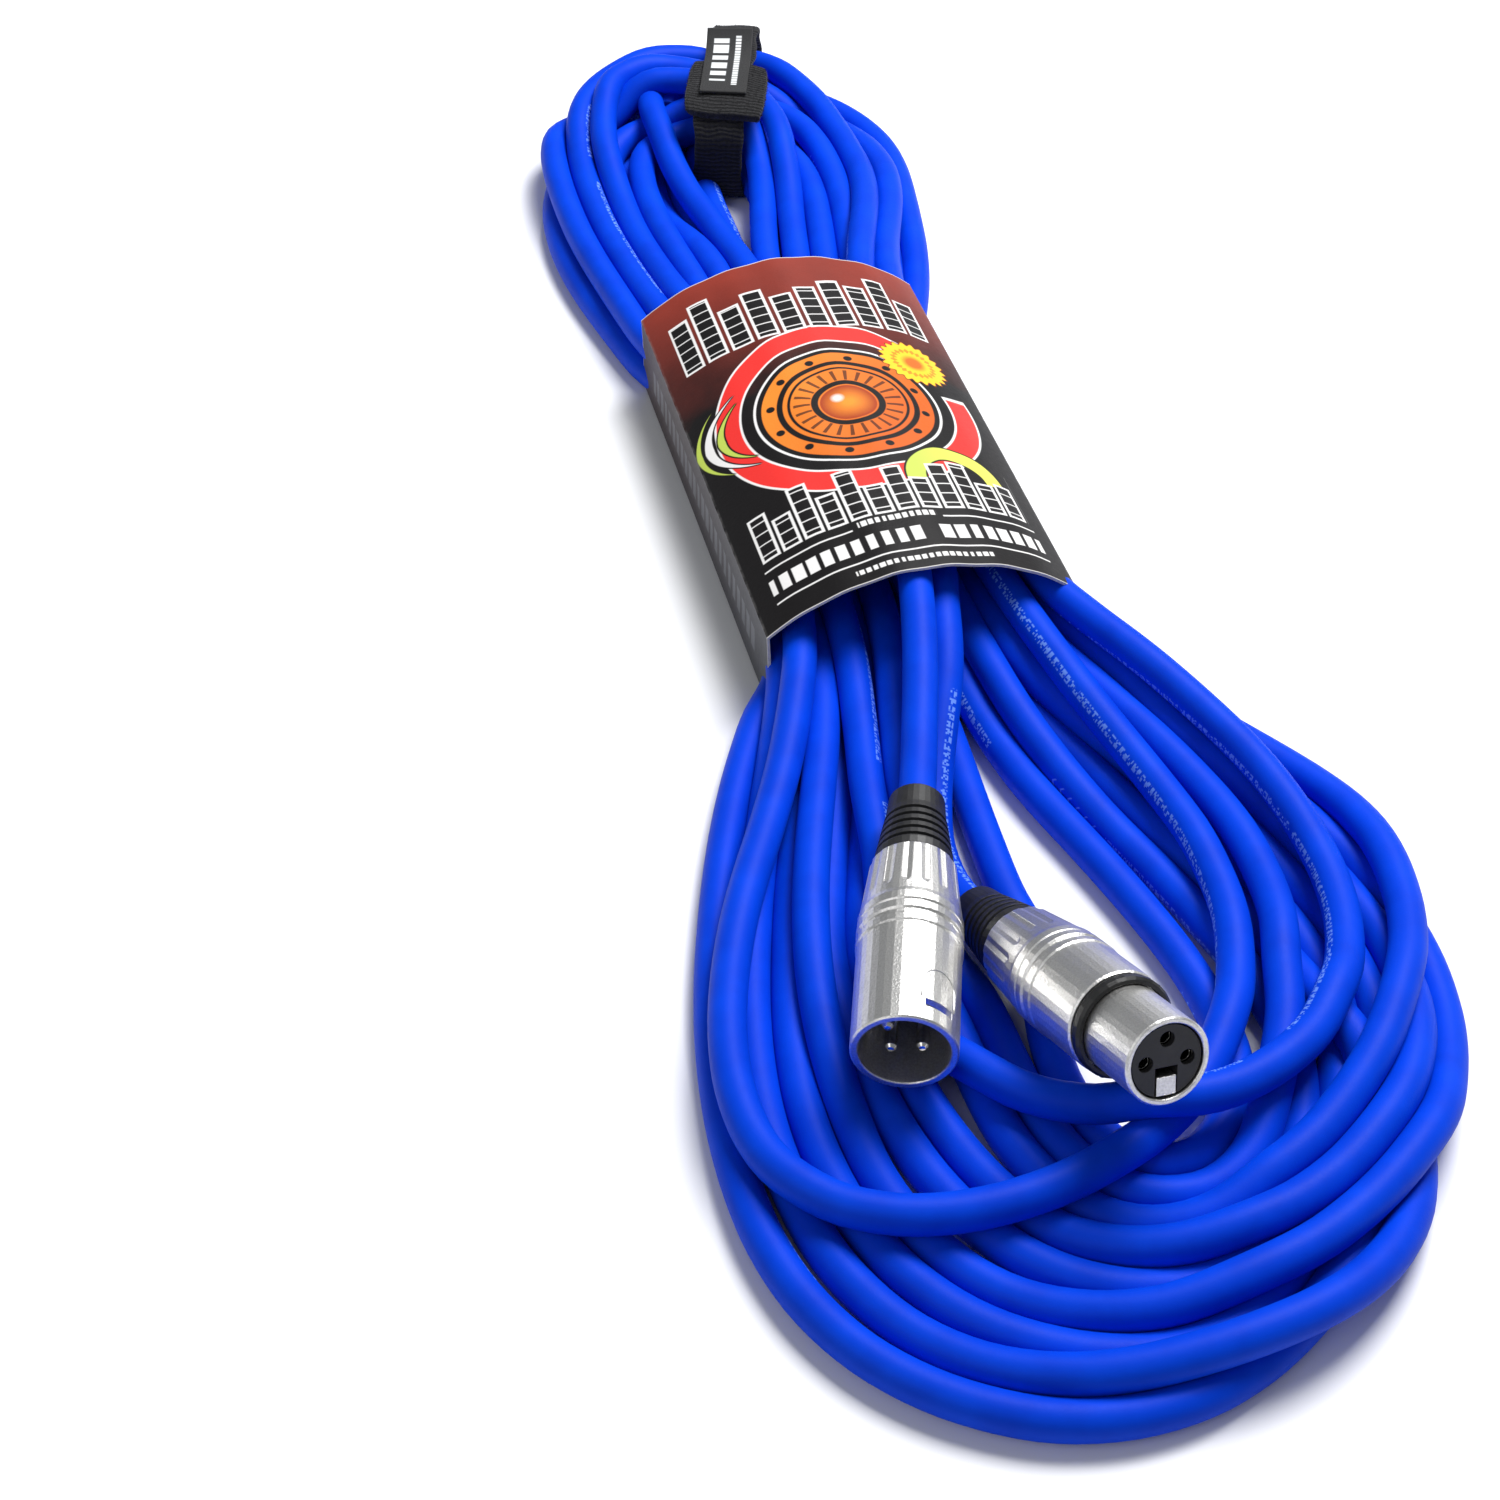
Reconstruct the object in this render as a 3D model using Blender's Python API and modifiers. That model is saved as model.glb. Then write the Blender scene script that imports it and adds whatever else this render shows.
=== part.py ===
"""XLR microphone cable, wound into a long hank, held by a card sleeve and a hook-and-loop tie.

Frame: metres, +Z up, origin at the bottom centre of the whole object.
The hank lies along Y. Its narrow, tied end is at +Y and its wide loop is at -Y.
"""
import math

import bmesh
import bpy
from mathutils import Matrix, Vector

MM = 0.001
PART = "xlr_cable_coil"

# The cable and its hank (mm)
CABLE_R = 3.6
GAP = 0.3                  # space kept between pieces that touch
LOWER_TIER = 9.2           # height of the hank under the connectors
UPPER_TIER = 18.0          # height of the hank's outer turns
NOTCH = 2.2                # how far the hank is cut away underneath, where the sleeve passes

# The card sleeve (mm)
SLEEVE_X = 2.4
SLEEVE_Y = 16.5
SLEEVE_LENGTH = 122.0
SLEEVE_TRAVEL = 4.0        # how far it slides along the hank, each way
SLEEVE_HALF_WIDTH = 33.5
SLEEVE_SHOULDER = 19.5     # height of the creases
SLEEVE_CROWN = 32.0        # height of the arch
SLEEVE_CORNER = 4.0        # radius along the bottom edges
CARD = 0.6

# The tie round the narrow end (mm)
TIE_CENTRE = (17.5, 189.0)
TIE_HEADING = -18.7        # degrees from +Y, about Z
TIE_WIDTH = 12.0
TIE_THICK = 1.5
TIE_LENGTH = 66.0
TIE_HEIGHT = 25.0
HEAD_SIZE = (21.0, 24.0, 3.0)
HEAD_PLACE = (1.0, -18.0)
LABEL_SIZE = (12.0, 24.0, 0.9)
LABEL_PLACE = (0.0, -8.0)
LABEL_TILT = 14.0

# The two connectors: centre of the front face, heading from -Y, rise, and where the key is (mm, degrees)
MALE_FRONT = (-35.5, -157.5, 19.5)
MALE_HEADING = -18.8
MALE_RISE = 0.0
MALE_KEY = 53.0
FEMALE_FRONT = (1.5, -182.0, 34.5)
FEMALE_HEADING = 9.3
FEMALE_RISE = 22.5
FEMALE_KEY = -98.0

# Connector sizes (mm). A connector's own axis is Z, its front face is at 0 and its key is at +X.
SHELL_R = 9.5
RING_R = 9.75
CUP_R = 8.1
CUP_DEPTH = 18.6
BORE_R = 7.4
NECK_R = 8.1
NECK_LENGTH = 6.0
NOSE_R = 7.9
NOSE_BORE_R = 6.8
CONTACT_CIRCLE = 3.9
PIN_R = 1.2
MALE_NECK_Z = -27.6        # where the barrel's rings end and its threaded neck starts
FEMALE_NECK_Z = -35.4
CAP_LENGTH = 16.3
BOOT_LENGTH = 18.0
SOLDER_LENGTH = 5.4        # how far the contacts reach behind the start of the neck
CHUCK_START = 6.4          # behind the start of the neck
JACKET_END = 9.6           # where the cable's jacket ends, behind the start of the neck
KEY_TAB = (3.6, 3.3)       # width and height of the latch bar seen in the female face
PIVOT_Z = -33.0

# Outlines of the hank, seen from above (mm)
OUTER = [(-18, -227), (-50, -217), (-68, -195), (-71, -168), (-65, -132), (-49, -91), (-29.5, -50), (-29.5, 83),
         (-34, 114), (-35, 158), (-24, 194), (-4, 221), (12, 228), (21, 216), (33, 203), (46, 188), (52, 163),
         (50, 132), (34.3, 83), (34.3, -50), (54, -76), (67, -105), (71, -128), (67, -154), (50, -186),
         (24, -213), (2, -225)]
NEAR_HOLE_UPPER = [(5, -41), (18, -58), (30, -92), (42, -124), (42, -148), (28, -166), (4, -171), (-26, -172),
                   (-46, -165), (-50, -150), (-42, -118), (-29, -92), (-11, -56)]
NEAR_HOLE_LOWER = [(5, -60), (20, -88), (33, -120), (32, -142), (14, -154), (-10, -152), (-22, -132), (-21, -108),
                   (-17, -88), (-9, -66)]
FAR_HOLE = [(6, 92), (13, 110), (17, 140), (16, 160), (5, 164), (-4, 156), (-6, 130), (-2, 106)]

# Routes of the two cable ends, from under the sleeve to the boots (mm)
MALE_ROUTE = [(3.5, -28.0, 26.4), (0.6, -44.0, 26.2), (-3.8, -62.0, 23.4), (-9.0, -79.0, 20.2)]
FEMALE_ROUTE = [(9.5, -28.0, 22.0), (6.6, -43.0, 21.9), (2.6, -60.0, 18.4), (-3.0, -74.0, 12.6), (-7.6, -86.0, 7.5),
                (-10.1, -96.0, 4.5), (-10.5, -104.0, 4.1), (-10.0, -111.0, 5.0)]


# --------------------------------------------------------------------------- scene and materials

def clear_scene():
    for old in list(bpy.data.objects):
        bpy.data.objects.remove(old, do_unlink=True)
    for name in (PART, "cutters"):
        group = bpy.data.collections.new(name)
        bpy.context.scene.collection.children.link(group)


def material(name, color, roughness, metallic=0.0):
    mat = bpy.data.materials.new(name)
    mat.use_nodes = True
    shader = mat.node_tree.nodes["Principled BSDF"]
    shader.inputs["Base Color"].default_value = (*color, 1.0)
    shader.inputs["Roughness"].default_value = roughness
    shader.inputs["Metallic"].default_value = metallic
    mat.diffuse_color = (*color, 1.0)
    return mat


def make_materials():
    return {
        "jacket": material("jacket", (0.0, 0.06, 0.75), 0.5),
        "nickel": material("nickel", (0.72, 0.71, 0.68), 0.35, 1.0),
        "pin_metal": material("pin_metal", (0.8, 0.79, 0.75), 0.25, 1.0),
        "black_plastic": material("black_plastic", (0.02, 0.02, 0.02), 0.45),
        "chuck_plastic": material("chuck_plastic", (0.75, 0.75, 0.72), 0.5),
        "rubber": material("rubber", (0.015, 0.015, 0.015), 0.7),
        "card": material("card", (0.05, 0.045, 0.045), 0.4),
        "webbing": material("webbing", (0.012, 0.012, 0.012), 0.95),
        "woven_label": material("woven_label", (0.03, 0.03, 0.03), 0.85),
        "core_red": material("core_red", (0.6, 0.03, 0.03), 0.5),
        "core_white": material("core_white", (0.8, 0.8, 0.78), 0.5),
        "copper": material("copper", (0.8, 0.42, 0.25), 0.35, 1.0),
    }


# --------------------------------------------------------------------------- modelling helpers

def add_mesh(name, mesh, mat=None, parent=None, group=PART):
    obj = bpy.data.objects.new(name, mesh)
    bpy.data.collections[group].objects.link(obj)
    if mat:
        mesh.materials.append(mat)
    if parent:
        obj.parent = parent
    if group == "cutters":
        obj.hide_render = True
        obj.display_type = "WIRE"
    return obj


def smooth(obj, angle=35.0):
    obj.data.shade_smooth()
    obj.data.set_sharp_from_angle(angle=math.radians(angle))


def turned(name, profile, mat=None, parent=None, segments=32, closed=True, group=PART):
    """Spin a profile of (radius, height) in mm about Z. It runs down its outer side, from top to bottom."""
    bm = bmesh.new()
    verts = [bm.verts.new((r * MM, 0.0, z * MM)) for r, z in profile]
    for a, b in zip(verts, verts[1:]):
        bm.edges.new((a, b))
    if closed:
        bm.edges.new((verts[-1], verts[0]))
    mesh = bpy.data.meshes.new(name)
    bm.to_mesh(mesh)
    bm.free()
    obj = add_mesh(name, mesh, mat, parent, group)
    screw = obj.modifiers.new("spin", "SCREW")
    screw.axis = "Z"
    screw.steps = segments
    screw.render_steps = segments
    screw.use_merge_vertices = True
    screw.merge_threshold = 0.00001
    screw.use_smooth_shade = True
    return obj


def block(name, low, high, mat=None, parent=None, bevel=0.0, group=PART):
    """A box between two corners in mm, with its edges rounded by bevel mm."""
    bm = bmesh.new()
    bmesh.ops.create_cube(bm, size=1.0)
    low, high = Vector(low) * MM, Vector(high) * MM
    size = high - low
    bmesh.ops.scale(bm, vec=size, verts=bm.verts)
    bmesh.ops.translate(bm, vec=(low + high) / 2, verts=bm.verts)
    mesh = bpy.data.meshes.new(name)
    bm.to_mesh(mesh)
    bm.free()
    obj = add_mesh(name, mesh, mat, parent, group)
    if bevel:
        edge = obj.modifiers.new("edges", "BEVEL")
        edge.width = bevel * MM
        edge.segments = 2
    return obj


def cut(obj, *cutters):
    for cutter in cutters:
        step = obj.modifiers.new("cut", "BOOLEAN")
        step.operation = "DIFFERENCE"
        step.solver = "EXACT"
        step.object = cutter


def smooth_route(points, spacing):
    """Points every spacing mm along a smooth curve through hand-chosen points (mm)."""
    pts = [Vector(p) for p in points]
    ends = [2 * pts[0] - pts[1]] + pts + [2 * pts[-1] - pts[-2]]
    fine = []
    for p0, p1, p2, p3 in zip(ends, ends[1:], ends[2:], ends[3:]):
        for i in range(24):
            t = i / 24
            fine.append(0.5 * ((2 * p1) + (p2 - p0) * t + (2 * p0 - 5 * p1 + 4 * p2 - p3) * t ** 2
                               + (3 * p1 - p0 - 3 * p2 + p3) * t ** 3))
    fine.append(pts[-1])
    walked = [0.0]
    for a, b in zip(fine, fine[1:]):
        walked.append(walked[-1] + (b - a).length)
    count = max(2, round(walked[-1] / spacing) + 1)
    route = []
    i = 0
    for k in range(count):
        target = walked[-1] * k / (count - 1)
        while i < len(fine) - 2 and walked[i + 1] < target:
            i += 1
        span = walked[i + 1] - walked[i]
        route.append(fine[i].lerp(fine[i + 1], (target - walked[i]) / span))
    return route


def tube(name, points, radius, mat, resolution=3):
    """A round cable or wire: a poly spline with filled caps, made a welded mesh."""
    curve = bpy.data.curves.new(name, "CURVE")
    curve.dimensions = "3D"
    curve.bevel_depth = radius * MM
    curve.bevel_resolution = resolution
    curve.use_fill_caps = True
    spline = curve.splines.new("POLY")
    spline.points.add(len(points) - 1)
    for point, place in zip(spline.points, points):
        point.co = (*(Vector(place) * MM), 1.0)
    obj = bpy.data.objects.new(name, curve)
    bpy.data.collections[PART].objects.link(obj)
    curve.materials.append(mat)
    return obj


def outline_mesh(name, outlines, bottom, top):
    """A flat solid with smooth outlines: the first is its edge and the others are holes (mm)."""
    curve = bpy.data.curves.new(name, "CURVE")
    curve.dimensions = "2D"
    curve.fill_mode = "BOTH"
    curve.extrude = (top - bottom) / 2 * MM
    curve.resolution_u = 5
    for outline in outlines:
        spline = curve.splines.new("BEZIER")
        spline.bezier_points.add(len(outline) - 1)
        for point, (x, y) in zip(spline.bezier_points, outline):
            point.co = (x * MM, y * MM, 0.0)
            point.handle_left_type = "AUTO"
            point.handle_right_type = "AUTO"
        spline.use_cyclic_u = True
    guide = bpy.data.objects.new(name + "_guide", curve)
    bpy.data.collections["cutters"].objects.link(guide)
    bpy.context.view_layer.update()
    mesh = bpy.data.meshes.new_from_object(guide.evaluated_get(bpy.context.evaluated_depsgraph_get()))
    bpy.data.objects.remove(guide)
    bm = bmesh.new()
    bm.from_mesh(mesh)
    bmesh.ops.remove_doubles(bm, verts=bm.verts, dist=0.00001)
    bmesh.ops.translate(bm, vec=(0, 0, (bottom + top) / 2 * MM), verts=bm.verts)
    bmesh.ops.recalc_face_normals(bm, faces=bm.faces)
    bm.to_mesh(mesh)
    bm.free()
    return mesh


# --------------------------------------------------------------------------- hank, sleeve and tie

def tie_frame():
    frame = bpy.data.objects.new("tie_frame", None)
    bpy.data.collections[PART].objects.link(frame)
    frame.location = (TIE_CENTRE[0] * MM, TIE_CENTRE[1] * MM, 0.0)
    frame.rotation_euler = (0.0, 0.0, math.radians(TIE_HEADING))
    return frame


def make_coil(mats, tie):
    """The hank's outer shape: a lower tier under the connectors and an upper tier round them."""
    lower = add_mesh("cable_coil", outline_mesh("coil", [OUTER, NEAR_HOLE_LOWER, FAR_HOLE], 0.0, LOWER_TIER),
                     mats["jacket"])
    upper = add_mesh("upper_tier", outline_mesh("coil", [OUTER, NEAR_HOLE_UPPER, FAR_HOLE], 4.0, UPPER_TIER),
                     group="cutters")
    join = lower.modifiers.new("tiers", "BOOLEAN")
    join.operation = "UNION"
    join.solver = "EXACT"
    join.object = upper
    half = SLEEVE_LENGTH / 2 + SLEEVE_TRAVEL + 1.0
    sleeve_notch = block("sleeve_notch", (-80, SLEEVE_Y - half, -5), (80, SLEEVE_Y + half, NOTCH), group="cutters")
    reach = TIE_WIDTH / 2 + 1.5
    tie_notch = block("tie_notch", (-reach, -60, -5), (reach, 60, TIE_THICK + GAP + 0.2), parent=tie,
                      group="cutters")
    cut(lower, sleeve_notch, tie_notch)


def sleeve_profile():
    """Half-closed card outline in X and Z (mm), from the middle of the arch, clockwise."""
    w, s, c = SLEEVE_HALF_WIDTH, SLEEVE_SHOULDER, SLEEVE_CROWN
    rise = c - s
    radius = (w * w + rise * rise) / (2 * rise)
    half_angle = math.asin(w / radius)
    arch = [(radius * math.sin(a), c - radius + radius * math.cos(a))
            for a in (half_angle * (i / 6 - 1) for i in range(13))]
    r = SLEEVE_CORNER
    right = [(w - r + r * math.cos(a), r - r * math.sin(a)) for a in (math.radians(k * 22.5) for k in range(5))]
    left = [(-x, z) for x, z in reversed(right)]
    return arch + right + left


def make_sleeve(mats):
    bm = bmesh.new()
    half = SLEEVE_LENGTH / 2
    rows = [[bm.verts.new(((SLEEVE_X + x) * MM, (SLEEVE_Y + y) * MM, z * MM)) for x, z in sleeve_profile()]
            for y in (-half, half)]
    count = len(rows[0])
    for i in range(count):
        j = (i + 1) % count
        bm.faces.new((rows[0][i], rows[0][j], rows[1][j], rows[1][i]))
    mesh = bpy.data.meshes.new("card_sleeve")
    bm.to_mesh(mesh)
    bm.free()
    sleeve = add_mesh("card_sleeve", mesh, mats["card"])
    card = sleeve.modifiers.new("card", "SOLIDIFY")
    card.thickness = CARD * MM
    card.offset = -1.0
    card.use_even_offset = True
    smooth(sleeve, 30)


def make_tie(mats, frame):
    """The strap round the bundle, its slotted head on top and the woven label stitched to it."""
    length, height, r = TIE_LENGTH / 2, TIE_HEIGHT, 6.0
    ring = []
    for cy, cz, start in ((length - r, height - r, 90), (length - r, r, 0), (r - length, r, -90),
                          (r - length, height - r, -180)):
        ring += [(cy + r * math.cos(a), cz + r * math.sin(a)) for a in
                 (math.radians(start - 22.5 * k) for k in range(5))]
    bm = bmesh.new()
    rows = [[bm.verts.new((x * MM, y * MM, z * MM)) for y, z in ring] for x in (-TIE_WIDTH / 2, TIE_WIDTH / 2)]
    for i in range(len(ring)):
        j = (i + 1) % len(ring)
        bm.faces.new((rows[0][i], rows[1][i], rows[1][j], rows[0][j]))
    mesh = bpy.data.meshes.new("tie_strap")
    bm.to_mesh(mesh)
    bm.free()
    strap = add_mesh("tie_strap", mesh, mats["webbing"], frame)
    thick = strap.modifiers.new("webbing", "SOLIDIFY")
    thick.thickness = TIE_THICK * MM
    thick.offset = -1.0
    thick.use_even_offset = True

    hx, hy = HEAD_PLACE
    sx, sy, sz = HEAD_SIZE
    base = TIE_HEIGHT + GAP
    block("tie_head", (hx - sx / 2, hy - sy / 2, base), (hx + sx / 2, hy + sy / 2, base + sz), mats["webbing"],
          frame, bevel=0.9)

    lx, ly, lz = LABEL_SIZE
    label = block("tie_label", (-lx / 2, -ly / 2, 0), (lx / 2, ly / 2, lz), mats["woven_label"], frame, bevel=0.3)
    rise = ly / 2 * math.sin(math.radians(LABEL_TILT))
    label.location = (LABEL_PLACE[0] * MM, LABEL_PLACE[1] * MM, (base + sz + GAP + rise) * MM)
    label.rotation_euler = (math.radians(LABEL_TILT), 0.0, 0.0)


# --------------------------------------------------------------------------- connectors

def connector_frame(name, front, heading, rise, key):
    """An empty whose Z points out of the connector's face and whose X points at its key."""
    h, r, k = (math.radians(a) for a in (heading, rise, key))
    ahead = Vector((math.sin(h) * math.cos(r), -math.cos(h) * math.cos(r), math.sin(r)))
    right = Vector((0, 0, 1)).cross(ahead).normalized()
    up = ahead.cross(right)
    x_axis = math.cos(k) * right + math.sin(k) * up
    y_axis = ahead.cross(x_axis)
    matrix = Matrix((x_axis, y_axis, ahead)).transposed().to_4x4()
    matrix.translation = Vector(front) * MM
    empty = bpy.data.objects.new(name, None)
    bpy.data.collections[PART].objects.link(empty)
    empty.matrix_world = matrix
    bpy.context.view_layer.update()
    return empty


def contact_places():
    """The three contacts: one opposite the key and one on each side."""
    return [(0.0, CONTACT_CIRCLE), (0.0, -CONTACT_CIRCLE), (-CONTACT_CIRCLE, 0.0)]


def ring_steps(neck_z):
    """The two raised rings and the groove between them, in front of the threaded neck."""
    z = neck_z
    return [(SHELL_R, z + 5.0), (RING_R, z + 4.6), (RING_R, z + 3.2), (SHELL_R - 0.15, z + 2.8),
            (SHELL_R - 0.15, z + 2.0), (RING_R, z + 1.6), (RING_R, z), (NECK_R, z), (NECK_R, z - NECK_LENGTH)]


def rod(name, radius, low, high, place, group="cutters", mat=None, parent=None, segments=16):
    profile = [(0, high), (radius, high), (radius, low), (0, low)]
    obj = turned(name, profile, mat, parent, segments, closed=False, group=group)
    obj.location = (place[0] * MM, place[1] * MM, 0.0)
    return obj


def make_male_front(mats, frame):
    neck = MALE_NECK_Z
    barrel = turned("male_barrel", [(9.2, 0), (SHELL_R, -0.3)] + ring_steps(neck)
                    + [(BORE_R, neck - NECK_LENGTH), (BORE_R, -CUP_DEPTH - 0.8), (6.9, -CUP_DEPTH - 0.8),
                       (6.9, -CUP_DEPTH), (CUP_R, -CUP_DEPTH), (CUP_R, -0.2), (8.3, 0)],
                    mats["nickel"], frame, segments=40)
    window = block("latch_window", (6, -2.9, -4.9), (12, 2.9, -3.3), parent=frame, group="cutters")
    cut(barrel, window)

    front = -CUP_DEPTH - 0.8 - GAP
    insert = turned("male_insert", [(0, front), (7.1, front), (7.1, neck), (0, neck)], mats["black_plastic"],
                    frame, closed=False)
    back = neck - SOLDER_LENGTH
    for number, (x, y) in enumerate(contact_places(), 1):
        pin = turned(f"male_pin_{number}",
                     [(0, -3.2), (0.6, -3.3), (1.05, -3.8), (PIN_R, -4.6), (PIN_R, back), (0, back)],
                     mats["pin_metal"], frame, segments=16, closed=False)
        pin.location = (x * MM, y * MM, 0.0)
        cut(insert, rod(f"pin_hole_{number}", PIN_R + GAP, neck - 5, front + 5, (x, y), parent=frame))


def make_female_front(mats, frame):
    neck = FEMALE_NECK_Z
    step = -25.5
    barrel = turned("female_barrel", [(7.6, 0), (NOSE_R, -0.3), (NOSE_R, -16.4), (9.2, -16.4), (SHELL_R, -16.8)]
                    + ring_steps(neck)
                    + [(BORE_R, neck - NECK_LENGTH), (BORE_R, step), (NOSE_BORE_R, step), (NOSE_BORE_R, -0.2),
                       (7.0, 0)],
                    mats["nickel"], frame, segments=40)
    catch_window = block("catch_window", (5, -1.8, -10.6), (12, 1.8, -6.4), parent=frame, group="cutters")
    button_window = block("button_window", (5, -3.0, -23.0), (14, 3.0, -16.8), parent=frame, group="cutters")
    cut(barrel, catch_window, button_window)

    tail = -31.0
    insert = turned("female_insert", [(0, -0.5), (6.5, -0.5), (6.5, step - GAP), (7.1, step - GAP), (7.1, tail),
                                      (0, tail)], mats["black_plastic"], frame, closed=False)
    slot = block("latch_slot", (1.05, -2.1, tail - 5), (12, 2.1, 5), parent=frame, group="cutters")
    under_button = block("under_button", (5.1, -2.9, -23.6), (12, 2.9, -16.2), parent=frame, group="cutters")
    cut(insert, slot, under_button)
    back = neck - SOLDER_LENGTH
    for number, (x, y) in enumerate(contact_places(), 1):
        socket = turned(f"female_socket_{number}",
                        [(1.65, -1.9), (1.65, back), (1.2, back), (1.2, -1.9)],
                        mats["pin_metal"], frame, segments=16)
        socket.location = (x * MM, y * MM, 0.0)
        hole = turned(f"socket_hole_{number}", [(0, 3), (1.4, 3), (1.4, -1.6), (1.95, -1.6), (1.95, tail - 3),
                                                (0, tail - 3)],
                      parent=frame, segments=16, closed=False, group="cutters")
        hole.location = (x * MM, y * MM, 0.0)
        cut(insert, hole)

    turned("nose_ring", [(8.9, -13.9), (9.35, -14.4), (9.35, -15.6), (9.1, -16.1), (8.2, -16.1), (8.2, -13.9)],
           mats["rubber"], frame, segments=32)
    make_latch(mats, frame)


def make_latch(mats, frame):
    """The sprung key bar, its catch and the push button, which tip together about the bar's rear end."""
    pivot = bpy.data.objects.new("latch_pivot", None)
    bpy.data.collections[PART].objects.link(pivot)
    pivot.parent = frame
    pivot.location = (4.5 * MM, 0.0, PIVOT_Z * MM)
    half_width, height = KEY_TAB[0] / 2, KEY_TAB[1]
    outer = 6.1
    front = -PIVOT_Z
    lever = block("latch_lever", (outer - height - 4.5, -half_width, 0), (outer - 4.5, half_width, front - 0.4),
                  mats["nickel"], pivot)
    catch = block("catch", (1.0, -1.4, front - 10.2), (3.6, 1.4, front - 6.8), parent=pivot, group="cutters")
    join = lever.modifiers.new("catch", "BOOLEAN")
    join.operation = "UNION"
    join.solver = "EXACT"
    join.object = catch
    block("release_button", (outer + GAP - 4.5, -2.6, front - 22.6), (10.4 - 4.5, 2.6, front - 17.2),
          mats["black_plastic"], pivot, bevel=0.5)


def make_rear(side, mats, frame, neck):
    """The strain-relief chuck, the fluted cap, the ribbed boot and the three cores of one connector."""
    chuck_front, chuck_back = neck - CHUCK_START, neck - 12.7
    turned(f"{side}_chuck", [(7.0, chuck_front), (6.0, chuck_back), (CABLE_R + GAP, chuck_back),
                             (CABLE_R + GAP, chuck_front - 2.0), (6.2, chuck_front)],
           mats["chuck_plastic"], frame, segments=24)

    front = neck - GAP
    back = front - CAP_LENGTH
    cap = turned(f"{side}_cap", [(9.3, front), (9.65, front - 0.4), (9.65, front - 2.1), (9.4, front - 3.1),
                                 (8.1, back + 0.6), (7.6, back), (6.2, back), (6.2, back + 1.9),
                                 (7.5, back + 1.9), (7.5, back + 9.4), (8.4, back + 10.2), (8.4, front)],
                 mats["nickel"], frame, segments=48)
    flutes = []
    for index in range(16):
        turn = Matrix.Rotation(2 * math.pi * index / 16, 4, "Z")
        flute = turned(f"{side}_flute_{index}", [(0, 12.2), (0.9, 11.9), (1.4, 11.2), (1.6, 10.2), (1.6, -3), (0, -3)],
                       parent=frame, segments=12, closed=False, group="cutters")
        lean = Matrix.Translation((9.3 * MM, 0, back * MM)) @ Matrix.Rotation(math.radians(5.9), 4, "Y")
        flute.matrix_local = turn @ lean
        flutes.append(flute)
    cut(cap, *flutes)

    start = back - GAP
    end = start - BOOT_LENGTH
    outer = [(7.2, back + 3.6), (7.2, back + 2.2), (5.9, back + 2.2), (5.9, start), (7.35, start),
             (7.45, start - 1.6)]
    for rib in range(5):
        z = start - 1.9 - 2.1 * rib
        r = 7.4 - 0.3 * rib
        outer += [(r, z), (r - 0.6, z - 0.2), (r - 0.65, z - 0.7), (r - 0.12, z - 0.9)]
    outer += [(5.75, end + 5.2), (5.4, end + 0.5), (5.0, end)]
    bore = [(4.5, end), (CABLE_R + GAP, end + 3.0), (CABLE_R + GAP, back + 3.6)]
    turned(f"{side}_boot", outer + bore, mats["rubber"], frame, segments=32)

    cores = (("hot", "core_red"), ("cold", "core_white"), ("shield", "copper"))
    for (core, mat), (x, y) in zip(cores, contact_places()):
        top, low = neck - SOLDER_LENGTH - GAP, neck - JACKET_END + GAP
        middle = (top + low) / 2
        local = [(x, y, top), (x * 0.95, y * 0.95, middle + 0.9), (x * 0.55, y * 0.55, middle - 0.9),
                 (x * 0.4, y * 0.4, low)]
        places = [frame.matrix_world @ (Vector(p) * MM) / MM for p in local]
        tube(f"{side}_wire_{core}", smooth_route(places, 0.7), 0.55, mats[mat], resolution=2)


def make_lead(name, frame, neck, route, straight, mats):
    """The end of the cable: from under the sleeve, into the boot and up to the chuck."""
    end = neck - GAP - CAP_LENGTH - GAP - BOOT_LENGTH
    inside = [frame.matrix_world @ (Vector((0, 0, z)) * MM) / MM
              for z in (end - straight, end, end + BOOT_LENGTH / 2, neck - JACKET_END)]
    tube(name, smooth_route(route + inside, 4.0), CABLE_R, mats["jacket"])


def main():
    clear_scene()
    mats = make_materials()
    tie = tie_frame()
    make_coil(mats, tie)
    make_sleeve(mats)
    make_tie(mats, tie)

    male = connector_frame("male_frame", MALE_FRONT, MALE_HEADING, MALE_RISE, MALE_KEY)
    make_male_front(mats, male)
    make_rear("male", mats, male, MALE_NECK_Z)
    make_lead("male_lead", male, MALE_NECK_Z, MALE_ROUTE, 12.0, mats)

    female = connector_frame("female_frame", FEMALE_FRONT, FEMALE_HEADING, FEMALE_RISE, FEMALE_KEY)
    make_female_front(mats, female)
    make_rear("female", mats, female, FEMALE_NECK_Z)
    make_lead("female_lead", female, FEMALE_NECK_Z, FEMALE_ROUTE, 3.0, mats)


main()
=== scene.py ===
"""The looks of the XLR cable coil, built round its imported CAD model.

Metres, +Z up. The hank lies along Y, with its tied end at +Y and its wide loop at -Y.
Lists of places are in millimetres, and MM turns them into metres.
"""
import math

import bmesh
import bpy
import numpy as np
from mathutils import Matrix, Vector


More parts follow.
